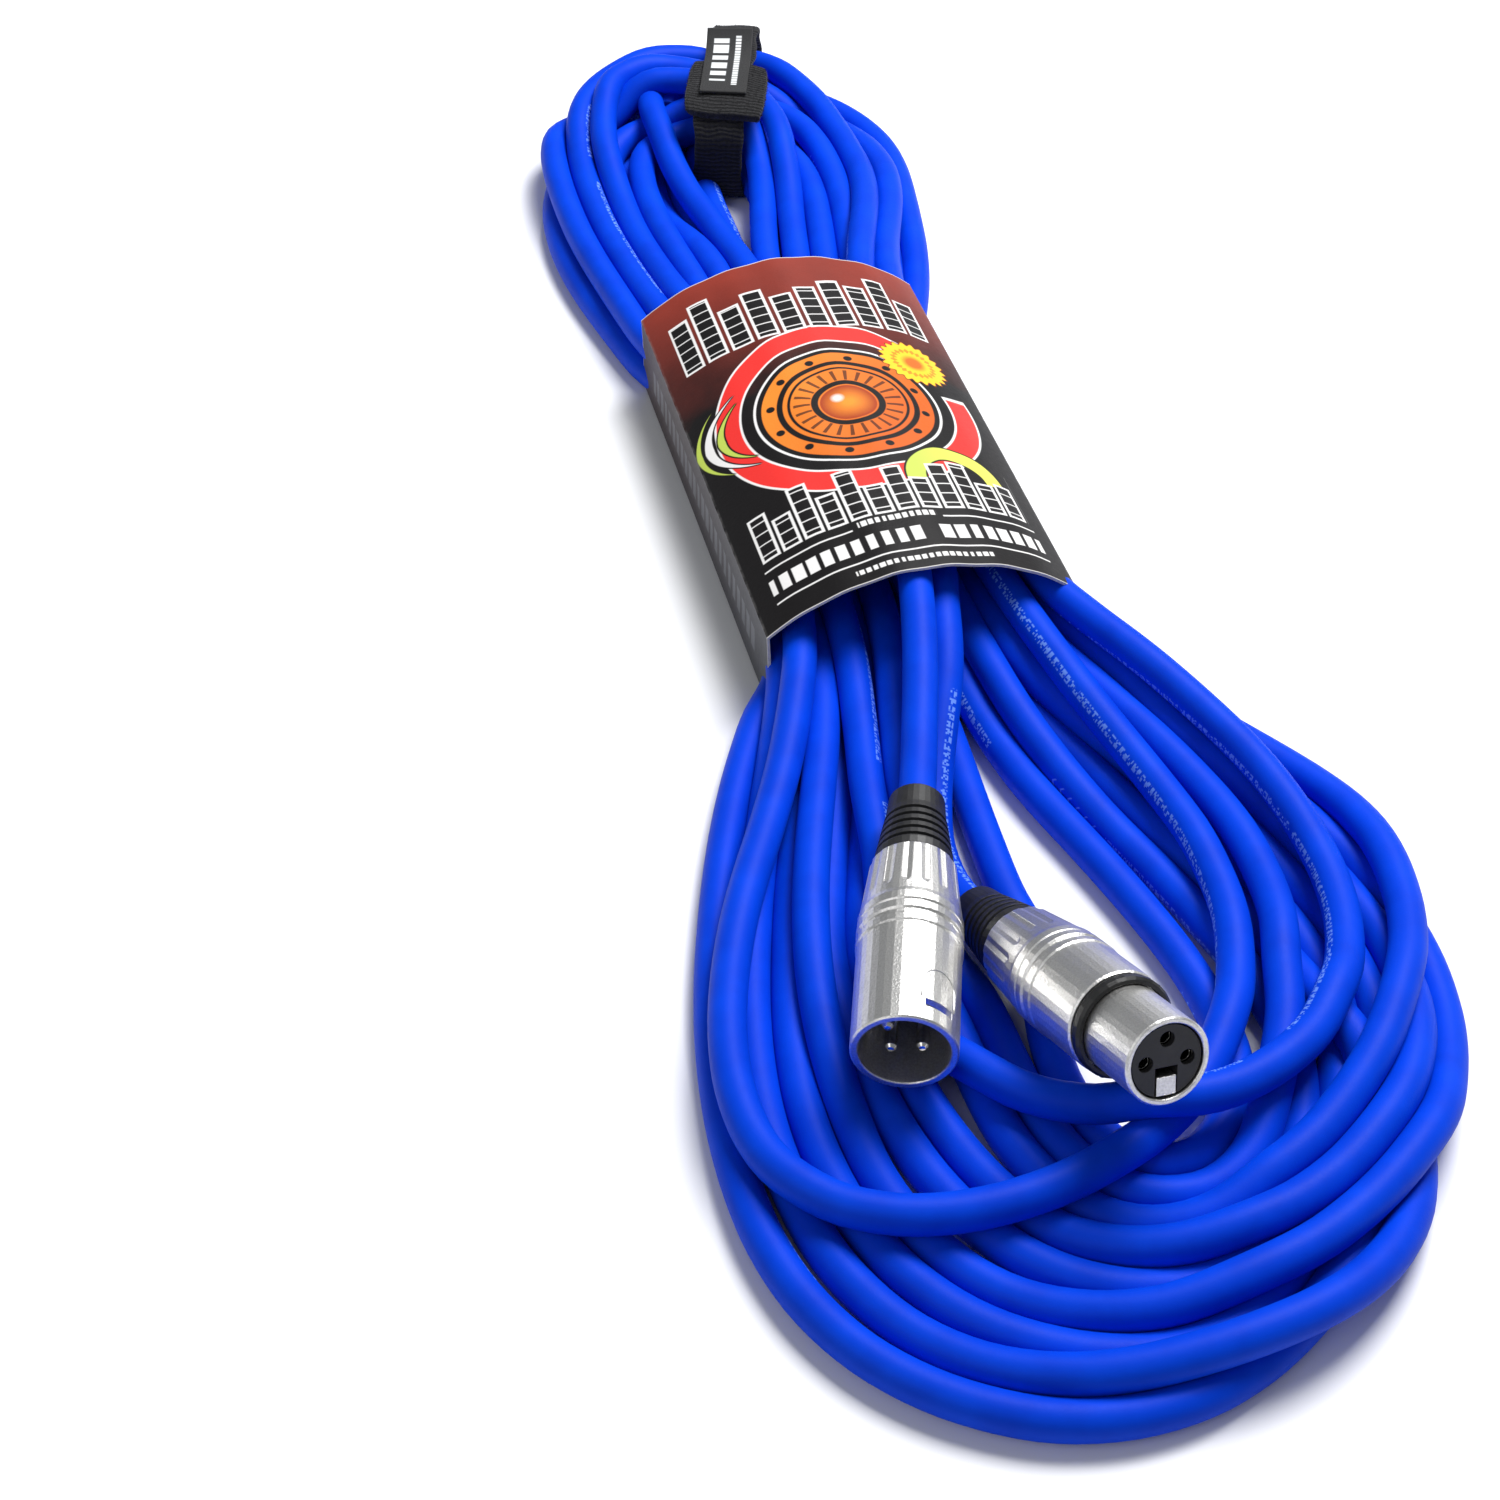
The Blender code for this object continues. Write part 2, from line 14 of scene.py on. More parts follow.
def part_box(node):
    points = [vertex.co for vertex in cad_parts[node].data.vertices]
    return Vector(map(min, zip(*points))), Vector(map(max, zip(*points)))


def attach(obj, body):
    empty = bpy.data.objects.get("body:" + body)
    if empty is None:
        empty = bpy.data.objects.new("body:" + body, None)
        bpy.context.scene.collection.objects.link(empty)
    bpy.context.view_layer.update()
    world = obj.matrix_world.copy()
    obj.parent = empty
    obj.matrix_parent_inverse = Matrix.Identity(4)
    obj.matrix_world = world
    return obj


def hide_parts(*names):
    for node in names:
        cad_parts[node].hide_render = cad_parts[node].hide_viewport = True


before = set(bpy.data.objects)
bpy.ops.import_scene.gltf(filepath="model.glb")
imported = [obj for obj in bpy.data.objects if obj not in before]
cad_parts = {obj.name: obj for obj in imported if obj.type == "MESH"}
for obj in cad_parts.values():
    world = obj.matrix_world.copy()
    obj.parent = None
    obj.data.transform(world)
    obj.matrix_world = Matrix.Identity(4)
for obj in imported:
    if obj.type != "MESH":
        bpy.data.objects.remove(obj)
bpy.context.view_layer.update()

MM = 0.001
CABLE_D = 7.2
CABLE_R = CABLE_D / 2
CABLE_MESH_STEP = 3.0
CABLE_SIDES = 18
CONNECTOR_NODES = [f"{side}_{part}" for side in ("male", "female")
                   for part in ("barrel", "insert", "cap", "boot", "chuck")]
CONNECTOR_NODES += ["male_pin_1", "male_pin_2", "male_pin_3", "nose_ring", "latch_lever", "release_button"]

# ---- the frame's own places (mm)

SLEEVE_LOW, SLEEVE_HIGH = (np.array(corner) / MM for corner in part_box("card_sleeve"))
SLEEVE_X = (SLEEVE_LOW[0] + SLEEVE_HIGH[0]) / 2
SLEEVE_HALF_WIDTH = (SLEEVE_HIGH[0] - SLEEVE_LOW[0]) / 2
SLEEVE_CROWN = SLEEVE_HIGH[2]
SLEEVE_SHOULDER = 19.5
SLEEVE_CORNER = 2.5
CARD = 0.6              # the card's thickness
ARCH_RISE = SLEEVE_CROWN - SLEEVE_SHOULDER
ARCH_RADIUS = (SLEEVE_HALF_WIDTH ** 2 + ARCH_RISE ** 2) / (2 * ARCH_RISE)
ARCH_HALF_ANGLE = math.asin(SLEEVE_HALF_WIDTH / ARCH_RADIUS)
ARCH_HALF = ARCH_RADIUS * ARCH_HALF_ANGLE       # from the middle of the arch round to its edge

TIE_CENTRE = np.array((17.5, 189.0))
TIE_HEADING = math.radians(-18.7)
TIE_ALONG = np.array((-math.sin(TIE_HEADING), math.cos(TIE_HEADING)))
TIE_ACROSS = np.array((TIE_ALONG[1], -TIE_ALONG[0]))
TIE_WIDTH = 12.0
TIE_THICK = 1.5
TIE_LENGTH = 66.0
TIE_HEIGHT = 25.0


class Connector:
    """Where a connector lies: the centre of its face, and its own X (to the key), Y and Z (ahead)."""

    def __init__(self, front, heading, rise, key, girth):
        h, r, k = (math.radians(angle) for angle in (heading, rise, key))
        self.front = np.array(front)
        self.ahead = np.array((math.sin(h) * math.cos(r), -math.cos(h) * math.cos(r), math.sin(r)))
        right = np.cross((0, 0, 1), self.ahead)
        right /= np.linalg.norm(right)
        up = np.cross(self.ahead, right)
        self.x_axis = math.cos(k) * right + math.sin(k) * up
        self.y_axis = np.cross(self.ahead, self.x_axis)
        self.girth = girth      # (distance behind the face, radius) pairs along its outside

    def at(self, z, x=0.0, y=0.0):
        return self.front + self.ahead * z + self.x_axis * x + self.y_axis * y


MALE = Connector((-35.5, -157.5, 19.5), -18.8, 0.0, 53.0,
                 ((0, 9.6), (32.2, 9.8), (48.2, 8.3), (66.6, 5.6)))
FEMALE = Connector((1.5, -182.0, 34.5), 9.3, 22.5, -98.0,
                   ((0, 8.0), (13, 8.4), (16, 9.6), (40.2, 9.8), (56.2, 8.3), (74.6, 5.6)))
MALE_BOOT_END = -62.5
FEMALE_BOOT_END = -70.3


def add_object(name, data):
    made = bpy.data.objects.new(name, data)
    bpy.context.scene.collection.objects.link(made)
    return made


# ---- camera

CAMERA_PLACE = (-0.1293, -0.4242, 0.348)
CAMERA_PITCH = 47.5
CAMERA_YAW = -14.0
LENS = 60.0


def make_camera():
    data = bpy.data.cameras.new("camera")
    data.lens = LENS
    data.sensor_width = 36.0
    data.clip_start = 0.01
    camera = add_object("camera", data)
    camera.location = CAMERA_PLACE
    camera.rotation_euler = (math.radians(CAMERA_PITCH), 0.0, math.radians(CAMERA_YAW))
    bpy.context.scene.camera = camera


# ---- the cable's route

# The two ends of the cable, from under the sleeve towards the boots
MALE_ROUTE = [(3.5, -28.0, 26.4), (0.6, -44.0, 26.2), (-3.8, -62.0, 23.4), (-9.0, -79.0, 20.2)]
FEMALE_ROUTE = [(9.5, -28.0, 22.0), (6.6, -43.0, 21.9), (2.6, -60.0, 18.4), (-3.0, -74.0, 12.6),
                (-7.6, -86.0, 7.5), (-10.1, -96.0, 4.5), (-10.5, -104.0, 4.1), (-10.0, -111.0, 5.0)]

# A gate is a line across the bundle: its start, its direction in degrees from +X, and then, for each pass
# of the cable, how far along it the pass crosses and how high. The passes are in the cable's own order.
NEAR_GATES = [
    ((0, -44), 180, (27, 26, 20, 19, 13, 12, 6, 5, -8, 15, 23), (4, 11, 5, 12, 5, 13, 5, 12, 5, 21, 18)),
    ((0, -66), 180, (36, 33, 27, 28, 20, 19, 11, 11, -5, 19, 31), (4, 11, 4, 11, 5, 14, 4, 11, 4, 19, 19)),
    ((0, -95), 180, (48, 43, 36, 36, 29, 24, 15, 17, 8, 20, 44), (4, 9, 4, 11, 6, 10, 4, 8, 4, 14, 20)),
    ((0, -125), 180, (57, 52, 47, 41, 36, 29, 21, 14, 16, 25, 61), (4, 8, 4, 9, 5, 6, 4, 10, 4, 7, 20)),
    ((-8, -160), 187, (57, 50, 43, 36, 27, 18, 10, 8, 5, 13, 61), (4, 8, 4, 6, 5, 5, 4, 11, 4, 12, 19)),
    ((-2, -161), 200, (70, 59, 52, 45, 35, 26, 18, 13, 12, 13, 62), (4, 7, 6, 8, 6, 6, 5, 11, 4, 13, 19)),
    ((4, -162), 216, (76, 69, 62, 55, 47, 36, 29, 24, 24, 16, 43), (4, 7, 7, 8, 8, 9, 6, 11, 4, 13, 17)),
    ((-8, -160), 270, (66, 63, 59, 54, 49, 42, 35, 31, 27, 14, 23), (4, 10, 5, 11, 6, 12, 5, 10, 4, 13, 17)),
    ((12, -160), 270, (55, 57, 51, 51, 46, 42, 36, 35, 30, 22, 14), (4, 11, 5, 12, 6, 14, 10, 14, 4, 20, 12)),
    ((20, -150), 312, (39, 46, 32, 45, 35, 41, 37, 24, 20, 26, 10), (4, 4, 4, 11, 11, 14, 18, 13, 4, 21, 12)),
    ((10, -145), 0, (37, 50, 43, 57, 31, 52, 58, 36, 18, 46, 25), (4, 4, 4, 6, 8, 11, 16, 13, 5, 21, 13)),
    ((0, -115), 0, (40, 54, 47, 61, 32, 57, 66, 51, 22, 60, 40), (4, 4, 4, 4, 11, 11, 12, 15, 8, 19, 15)),
    ((0, -85), 0, (31, 45, 38, 52, 26, 49, 57, 43, 16, 51, 34), (4, 4, 4, 4, 14, 11, 9, 17, 12, 18, 17)),
    ((0, -62), 0, (22, 33, 28, 39, 21, 39, 44, 35, 12, 42, 28), (6, 4, 5, 4, 18, 11, 5, 15, 16, 17, 18)),
    ((0, -44), 0, (12, 17, 19, 24, 17, 31, 31, 26, 9, 30, 24), (9, 4, 11, 4, 21, 11, 4, 12, 20, 17, 19)),
]
FAR_RIGHT = [
    ((0, 77), 0,
     (8, 12, 17, 19, 24, 17, 31, 31, 26, 9, 30, 24), (25, 10, 4, 11, 4, 21, 11, 4, 12, 19, 17, 19)),
    ((0, 105), 0,
     (11, 15, 22, 24, 31, 23, 38, 39, 31, 17, 37, 30), (21, 11, 4, 11, 4, 18, 11, 4, 12, 18, 17, 18)),
    ((0, 135), 0,
     (18, 20, 27, 28, 37, 32, 44, 48, 37, 25, 46, 39), (19, 12, 4, 11, 4, 17, 11, 4, 11, 18, 17, 18)),
]
FAR_LEFT = [
    ((0, 135), 180,
     (33, 31, 25, 23, 17, 16, 9, 8, 2, 20, 27, 4), (4, 11, 4, 12, 4, 12, 4, 11, 5, 19, 18, 19)),
    ((0, 105), 180,
     (30, 29, 23, 21, 15, 14, 8, 7, 1, 18, 26, 1), (4, 11, 4, 12, 4, 12, 4, 11, 5, 20, 18, 21)),
    ((0, 77), 180,
     (27, 26, 20, 19, 13, 12, 6, 5, -2, 15, 23, 0), (4, 11, 5, 12, 5, 13, 5, 12, 5, 21, 18, 25)),
]
# The fold at the tied end, for each pass: x of its right leg, its furthest point, x of its left leg, and
# the heights of the three
FOLD_Y = 160
FOLDS = [
    (24, (-4, 199), -32, 19, 19, 4), (24, (-3, 202), -31, 12, 12, 11), (28, (3, 201), -25, 4, 4, 4),
    (28, (4, 196), -23, 11, 12, 12), (38, (11, 208), -18, 4, 4, 4), (33, (6, 190), -15, 16, 12, 12),
    (45, (16, 209), -10, 11, 12, 4), (51, (18, 216), -9, 4, 4, 11), (39, (15, 193), -6, 11, 4, 5),
    (27, (4, 207), -21, 18, 19, 19), (47, (7, 215), -27, 17, 19, 18), (40, (9, 224), -7, 18, 19, 18),
]
# The corners of a fold, as shares of the way from its tip to its leg and from FOLD_Y to its tip
FOLD_CORNER = (0.78, 0.64)


def gate_points(gates, number):
    """Where one pass of the cable crosses each gate."""
    points = []
    for start, direction, places, heights in gates:
        turn = math.radians(direction)
        points.append((start[0] + math.cos(turn) * places[number],
                       start[1] + math.sin(turn) * places[number], heights[number]))
    return points


def fold_points(number):
    """One pass's way round the tied end, from right to left."""
    right, (top_x, top_y), left, right_z, top_z, left_z = FOLDS[number]
    out, up = FOLD_CORNER
    corner_y = FOLD_Y + up * (top_y - FOLD_Y)
    return [(right, FOLD_Y, right_z),
            (top_x + out * (right - top_x), corner_y, (right_z + top_z) / 2),
            (top_x, top_y, top_z),
            (top_x + out * (left - top_x), corner_y, (left_z + top_z) / 2),
            (left, FOLD_Y, left_z)]


def spline(points, spacing):
    """Points every spacing along a Catmull-Rom curve through the given ones."""
    pts = np.array(points, float)
    ends = np.vstack((2 * pts[0] - pts[1], pts, 2 * pts[-1] - pts[-2]))
    share = np.linspace(0, 1, 16, endpoint=False)[:, None]
    fine = []
    for p0, p1, p2, p3 in zip(ends, ends[1:], ends[2:], ends[3:]):
        fine.append(0.5 * (2 * p1 + (p2 - p0) * share + (2 * p0 - 5 * p1 + 4 * p2 - p3) * share ** 2
                           + (3 * p1 - p0 - 3 * p2 + p3) * share ** 3))
    return resample(np.vstack(fine + [pts[-1:]]), spacing)


def resample(path, spacing):
    walked = np.concatenate(([0], np.cumsum(np.linalg.norm(np.diff(path, axis=0), axis=1))))
    count = round(walked[-1] / spacing) + 1
    targets = np.linspace(0, walked[-1], count)
    return np.stack([np.interp(targets, walked, path[:, k]) for k in range(3)], axis=1)


def length_of(path):
    return float(np.linalg.norm(np.diff(path, axis=0), axis=1).sum())


def rough_route():
    """The whole cable, from the male connector's chuck, round every turn, to the female connector's chuck."""
    points = [MALE.at(z) for z in (-38.0, -50.0, MALE_BOOT_END, MALE_BOOT_END - 12)]
    points += list(reversed(MALE_ROUTE))
    points.append((7, 10, 20))
    for turn in range(len(FOLDS)):
        points += gate_points(FAR_RIGHT, turn) + fold_points(turn) + gate_points(FAR_LEFT, turn)
        if turn < len(NEAR_GATES[0][2]):
            points += gate_points(NEAR_GATES, turn)
    points.append((5, 10, 24))
    points += FEMALE_ROUTE
    points += [FEMALE.at(z) for z in (FEMALE_BOOT_END - 3, FEMALE_BOOT_END, -60.0, -46.0)]
    return points


# ---- settling the turns

SPACING = 4.0               # between the points of the path
HELD_AT_END = 118.0         # this much at either end already lies where it should,
FREED_OVER = 30.0           # and the cable is wholly free this much further on
IN_CONNECTOR = 90.0         # the connectors don't push this much at either end
GUIDE_PULL = 0.05
GRAVITY = 0.35
STIFF_AT = (80.0, 130.0)    # the cable's bending stiffness at these y, which eases towards the tied end
STIFFNESS = (76.0, 24.0)
STRETCH = 100               # points
LOOK_PAST = 35              # points
NEIGHBOURS = 3              # segments this near along the cable never count as touching
PUSH_SHARE = 0.6
PUSHES = 5                  # in each round
PAIRS_LAST = 6              # rounds
ROUNDS, QUICK_ROUNDS = 150, 20


def close_pairs(path, reach):
    """Pairs of segments of the cable that are near each other but not along it."""
    middles = ((path[1:] + path[:-1]) / 2).astype(np.float32)
    square = (middles ** 2).sum(axis=1)
    distance = square[:, None] + square[None, :] - 2 * middles @ middles.T
    first, second = np.nonzero(distance < reach ** 2)
    apart = second - first > NEIGHBOURS
    return first[apart], second[apart]


def push_apart(path, first, second, weight):
    """Moves touching segments apart until their axes are a cable's diameter from each other."""
    p, q = path[first], path[second]
    u, v, w = path[first + 1] - p, path[second + 1] - q, p - q
    a, b, c = (u * u).sum(1), (u * v).sum(1), (v * v).sum(1)
    d, e = (u * w).sum(1), (v * w).sum(1)
    flat = np.maximum(a * c - b * b, 1e-6)
    s = np.clip((b * e - c * d) / flat, 0, 1)
    t = np.clip((b * s + e) / c, 0, 1)
    s = np.clip((b * t - d) / a, 0, 1)
    gap = w + u * s[:, None] - v * t[:, None]
    distance = np.maximum(np.linalg.norm(gap, axis=1), 1e-4)
    hit = distance < CABLE_D
    first, second, s, t = first[hit], second[hit], s[hit], t[hit]
    push = gap[hit] * ((CABLE_D - distance[hit]) / distance[hit])[:, None]
    shares = ((first, 1 - s, 1), (first + 1, s, 1), (second, 1 - t, -1), (second + 1, t, -1))
    move = np.zeros_like(path)
    total = np.zeros(len(path))
    for index, share, sign in shares:
        for k in range(3):
            move[:, k] += np.bincount(index, sign * share * push[:, k], minlength=len(path))
        total += np.bincount(index, share, minlength=len(path))
    path += weight[:, None] * move / np.maximum(total, 1.0)[:, None] * PUSH_SHARE


def keep_in_sleeve(path):
    inside = (path[:, 1] > SLEEVE_LOW[1] - 1) & (path[:, 1] < SLEEVE_HIGH[1] + 1)
    p = path[inside]
    reach = SLEEVE_HALF_WIDTH - CARD - CABLE_R
    p[:, 0] = np.clip(p[:, 0], SLEEVE_X - reach, SLEEVE_X + reach)
    p[:, 2] = np.maximum(p[:, 2], CARD + CABLE_R)
    arch_middle = SLEEVE_CROWN - ARCH_RADIUS
    across, up = p[:, 0] - SLEEVE_X, p[:, 2] - arch_middle
    p[:, 2] = arch_middle + up * np.minimum(1.0, (ARCH_RADIUS - CARD - CABLE_R) / np.hypot(across, up))
    path[inside] = p


def keep_in_tie(path):
    flat = path[:, :2] - TIE_CENTRE
    across, along = flat @ TIE_ACROSS, flat @ TIE_ALONG
    reach = TIE_LENGTH / 2 - TIE_THICK - CABLE_R
    inside = (abs(across) < TIE_WIDTH / 2 + 1.0) & (along > -reach - CABLE_R) & (along < 2 * reach)
    kept = np.clip(along, -reach, reach)
    path[inside, :2] += ((kept - along)[:, None] * TIE_ALONG)[inside]
    path[inside, 2] = np.clip(path[inside, 2], TIE_THICK + CABLE_R, TIE_HEIGHT - TIE_THICK - CABLE_R)


def keep_out_of(path, connector, skip):
    """Pushes the cable off a connector's outside, except the stretch that goes into it."""
    away = path - connector.front
    behind = -away @ connector.ahead
    radial = away + behind[:, None] * connector.ahead
    distance = np.maximum(np.linalg.norm(radial, axis=1), 1e-4)
    places, radii = zip(*connector.girth)
    limit = np.interp(behind, places, radii) + CABLE_R + 0.2
    hit = (behind > -1) & (behind < places[-1]) & (distance < limit) & ~skip
    path[hit] += radial[hit] * ((limit - distance)[hit] / distance[hit])[:, None]


def bending_filter(path):
    """The cable's stiffness, as one small matrix for each stretch of it.

    Each trades the places of the stretch's points against the cable's bending. A stretch looks some way past
    both of its ends, as far as the stiffness carries.
    """
    stretches = []
    for start in range(0, len(path), STRETCH):
        end = min(start + STRETCH, len(path))
        low, high = max(0, start - LOOK_PAST), min(len(path), end + LOOK_PAST)
        count = high - low
        stiff = np.interp(path[low + 1:high - 1, 1], STIFF_AT, STIFFNESS)
        bend = np.zeros((count - 2, count))
        rows = np.arange(count - 2)
        bend[rows, rows], bend[rows, rows + 1], bend[rows, rows + 2] = 1, -2, 1
        system = bend.T @ (stiff[:, None] * bend)
        system[np.arange(count), np.arange(count)] += 1 + GUIDE_PULL
        stretches.append((start, end, low, high, np.linalg.inv(system)[start - low:end - low]))
    return stretches


def bent_to(stretches, values):
    bent = np.empty_like(values)
    for start, end, low, high, matrix in stretches:
        bent[start:end] = matrix @ values[low:high]
    return bent


def settle(path, rounds):
    """Lets the turns drop onto each other and the table, each staying close to its own route."""
    guide = path.copy()
    walked = np.arange(len(path)) * length_of(path) / (len(path) - 1)
    from_end = np.minimum(walked, walked[-1] - walked)
    free = np.clip((from_end - HELD_AT_END) / FREED_OVER, 0, 1)
    skip = from_end < IN_CONNECTOR
    stiffen = bending_filter(path)
    for step in range(rounds):
        if step % PAIRS_LAST == 0:
            first, second = close_pairs(path, CABLE_D + SPACING + 1.5)
        aim = guide.copy()
        aim[:, 2] = path[:, 2]
        bent = bent_to(stiffen, path + GUIDE_PULL * aim)
        path += (bent - path) * free[:, None]
        path[:, 2] -= GRAVITY * free
        for _ in range(PUSHES):
            push_apart(path, first, second, free)
            path[:, 2] = np.maximum(path[:, 2], CABLE_R)
            keep_in_sleeve(path)
            keep_in_tie(path)
            keep_out_of(path, MALE, skip)
            keep_out_of(path, FEMALE, skip)
        held = free == 0
        path[held] = guide[held]
    return path


def smoothed(path, passes):
    for _ in range(passes):
        path[1:-1] += 0.25 * (path[:-2] - 2 * path[1:-1] + path[2:])
    return path


def lay_cable():
    """The centre line of the whole cable, in mm."""
    path = resample(spline(rough_route(), 1.0), SPACING)
    path = settle(path, ROUNDS)
    return smoothed(path, 2)


# ---- materials

def math_node(operation):
    """A method of Number that adds one Math node."""
    return lambda self, *others: self.math(operation, *others)


class Number:
    """A number inside a material's nodes; sums with it add Math nodes."""

    def __init__(self, tree, socket):
        self.tree, self.socket = tree, socket

    def math(self, operation, *others):
        node = self.tree.nodes.new("ShaderNodeMath")
        node.operation = operation
        for index, value in enumerate((self, *others)):
            if isinstance(value, Number):
                self.tree.links.new(value.socket, node.inputs[index])
            else:
                node.inputs[index].default_value = value
        return Number(self.tree, node.outputs[0])

    __add__ = math_node("ADD")
    __sub__ = math_node("SUBTRACT")
    __mul__ = math_node("MULTIPLY")
    __truediv__ = math_node("DIVIDE")
    __abs__ = math_node("ABSOLUTE")
    most = math_node("MAXIMUM")
    sine = math_node("SINE")
    floor = math_node("FLOOR")

    def length(self, other):
        return (self * self + other * other).math("SQRT")

    def in_cell(self, pitch):
        """Where this lies in its cell, from minus half a pitch to half a pitch, and the cell's number."""
        number = (self / pitch).floor()
        return self - (number + 0.5) * pitch, number

    def band(self, half, middle=0.0):
        """How far this is past the edges of a band: below zero within half of the middle."""
        return abs(self - middle if middle else self) - half

    def outside(self):
        """1 where this is 0, and 0 where it is 1."""
        return self.math("SUBTRACT", 1.0) * -1.0

    def fade(self, start, end):
        """0 at start, 1 at end and straight between them."""
        node = self.tree.nodes.new("ShaderNodeMapRange")
        self.tree.links.new(self.socket, node.inputs["Value"])
        node.inputs["From Min"].default_value = start
        node.inputs["From Max"].default_value = end
        return Number(self.tree, node.outputs["Result"])

    def filled(self, blur=0.12):
        """1 where this distance is below zero, 0 above it."""
        return self.fade(blur, -blur)

    def random(self):
        node = self.tree.nodes.new("ShaderNodeTexWhiteNoise")
        node.noise_dimensions = "1D"
        self.tree.links.new(self.socket, node.inputs["W"])
        return Number(self.tree, node.outputs["Value"])


class Surface:
    """A material in the making. Its constants are set on the shader's own sockets."""

    def __init__(self, name, **constants):
        self.mat = bpy.data.materials.new(name)
        self.mat.use_nodes = True
        self.tree = self.mat.node_tree
        self.link = self.tree.links.new
        self.shader = self.tree.nodes["Principled BSDF"]
        for socket, value in constants.items():
            self.shader.inputs[socket.replace("_", " ")].default_value = value

    def vector(self, source, scale):
        coordinate = self.tree.nodes.new("ShaderNodeTexCoord")
        mapping = self.tree.nodes.new("ShaderNodeMapping")
        mapping.inputs["Scale"].default_value = scale
        self.link(coordinate.outputs[source], mapping.inputs["Vector"])
        return mapping.outputs["Vector"]

    def uv(self, *scale):
        """U and V, scaled."""
        split = self.tree.nodes.new("ShaderNodeSeparateXYZ")
        self.link(self.vector("UV", (*scale, 1.0)), split.inputs[0])
        return [Number(self.tree, split.outputs[k]) for k in range(2)]

    def noise(self, size, detail=2.0, stretch=(1.0, 1.0, 1.0)):
        """Cloudy noise from 0 to 1 whose blots are about this size in mm."""
        node = self.tree.nodes.new("ShaderNodeTexNoise")
        node.inputs["Scale"].default_value = 1.0 / (size * MM)
        node.inputs["Detail"].default_value = detail
        self.link(self.vector("Object", stretch), node.inputs["Vector"])
        return Number(self.tree, node.outputs["Fac"])

    def mix(self, factor, first, second):
        node = self.tree.nodes.new("ShaderNodeMix")
        node.data_type = "RGBA"
        self.link(factor.socket, node.inputs[0])
        for color, socket in ((first, node.inputs[6]), (second, node.inputs[7])):
            if isinstance(color, tuple):
                socket.default_value = (*color, 1.0)
            else:
                self.link(color, socket)
        return node.outputs[2]

    def paint(self, color):
        self.link(color, self.shader.inputs["Base Color"])

    def rough(self, number):
        self.link(number.socket, self.shader.inputs["Roughness"])

    def raise_by(self, height, depth, rounding=0.0):
        """Bumps the surface by height (0 to 1) times depth in mm, and rounds its edges in the shading."""
        bump = self.tree.nodes.new("ShaderNodeBump")
        bump.inputs["Distance"].default_value = depth * MM
        self.link(height.socket, bump.inputs["Height"])
        if rounding:
            edge = self.tree.nodes.new("ShaderNodeBevel")
            edge.inputs["Radius"].default_value = rounding * MM
            self.link(edge.outputs["Normal"], bump.inputs["Normal"])
        self.link(bump.outputs["Normal"], self.shader.inputs["Normal"])
        return self


def jacket_material():
    """Blue matte PVC with a faint pale print, made of specks and arrows. V goes once round the cable."""
    mark_pitch, mark_half, print_half = 1.7, 0.65, 0.8
    speck_length, speck_width = 0.42, 0.45
    arrow_pitch, repeat_length = 2.7, 236.0
    s = Surface("jacket_blue", Specular_IOR_Level=0.08, Sheen_Weight=0.04, Sheen_Roughness=0.4,
                Sheen_Tint=(0.0, 0.3, 1.0, 1.0))
    along, around = s.uv(1000.0, 1.0)
    print_line = (along * 0.011).sine() * 0.16 + 0.34
    across = (around - print_line) * (math.pi * CABLE_D)
    place, number = along.in_cell(mark_pitch)
    _, column = along.in_cell(speck_length)
    _, row = across.in_cell(speck_width)
    speck = (column + row * 57.3).random().fade(0.42, 0.46)
    mark = place.band(mark_half).filled() * across.band(print_half).filled() * speck
    group = (number / 7.0).floor().random().fade(0.12, 0.14)
    phase, _ = along.in_cell(repeat_length)
    arrow, _ = along.in_cell(arrow_pitch)
    chevron = (abs(across) * 0.8 + arrow).band(0.2, 0.6).filled() * across.band(print_half + 0.05).filled()
    marks = phase.band(74.0, -26.0).filled() * group * mark
    arrows = phase.band(8.0, 58.0).filled() * chevron
    ink = marks.most(arrows) * 0.6
    blue = s.mix(s.noise(9.0, 3.0).fade(0.3, 0.7), (0.0, 0.042, 0.58), (0.0, 0.054, 0.68))
    s.paint(s.mix(ink, blue, (0.22, 0.42, 0.95)))
    s.rough(s.noise(0.5) * 0.14 + 0.45)
    return s.raise_by(s.noise(0.35, 3.0), 0.02).mat


def nickel_material(name, color, darker):
    """Nickel over a blasted zinc casting: bright, with a fine sandy grain."""
    s = Surface(name, Metallic=1.0)
    grain = s.noise(0.4, 2.0)
    cloud = s.noise(4.0, 3.0)
    s.paint(s.mix(grain.fade(0.35, 0.7) * 0.5 + cloud * 0.3, color, darker))
    s.rough(grain * 0.16 + cloud * 0.05 + 0.26)
    return s.raise_by(grain, 0.06, rounding=0.22).mat


def moulded_material(name, color, lighter, roughness, grain=0.3, depth=0.02, rounding=0.15, **constants):
    """Moulded rubber or plastic: fine grain, and a little dust where it catches."""
    s = Surface(name, **constants)
    cloud = s.noise(3.0, 4.0)
    s.paint(s.mix(cloud.fade(0.35, 0.75), color, lighter))
    s.rough(s.noise(grain) * 0.16 + (roughness - 0.08))
    return s.raise_by(s.noise(grain, 3.0), depth, rounding).mat


def bright_material(name, color, worn):
    """Smooth plated or bare metal with faint rubbing marks."""
    s = Surface(name, Metallic=1.0)
    rubbed = s.noise(0.8, 4.0, stretch=(1.0, 1.0, 0.3))
    s.paint(s.mix(rubbed.fade(0.4, 0.8), color, worn))
    s.rough(rubbed * 0.18 + 0.06)
    return s.raise_by(rubbed, 0.01, 0.1).mat


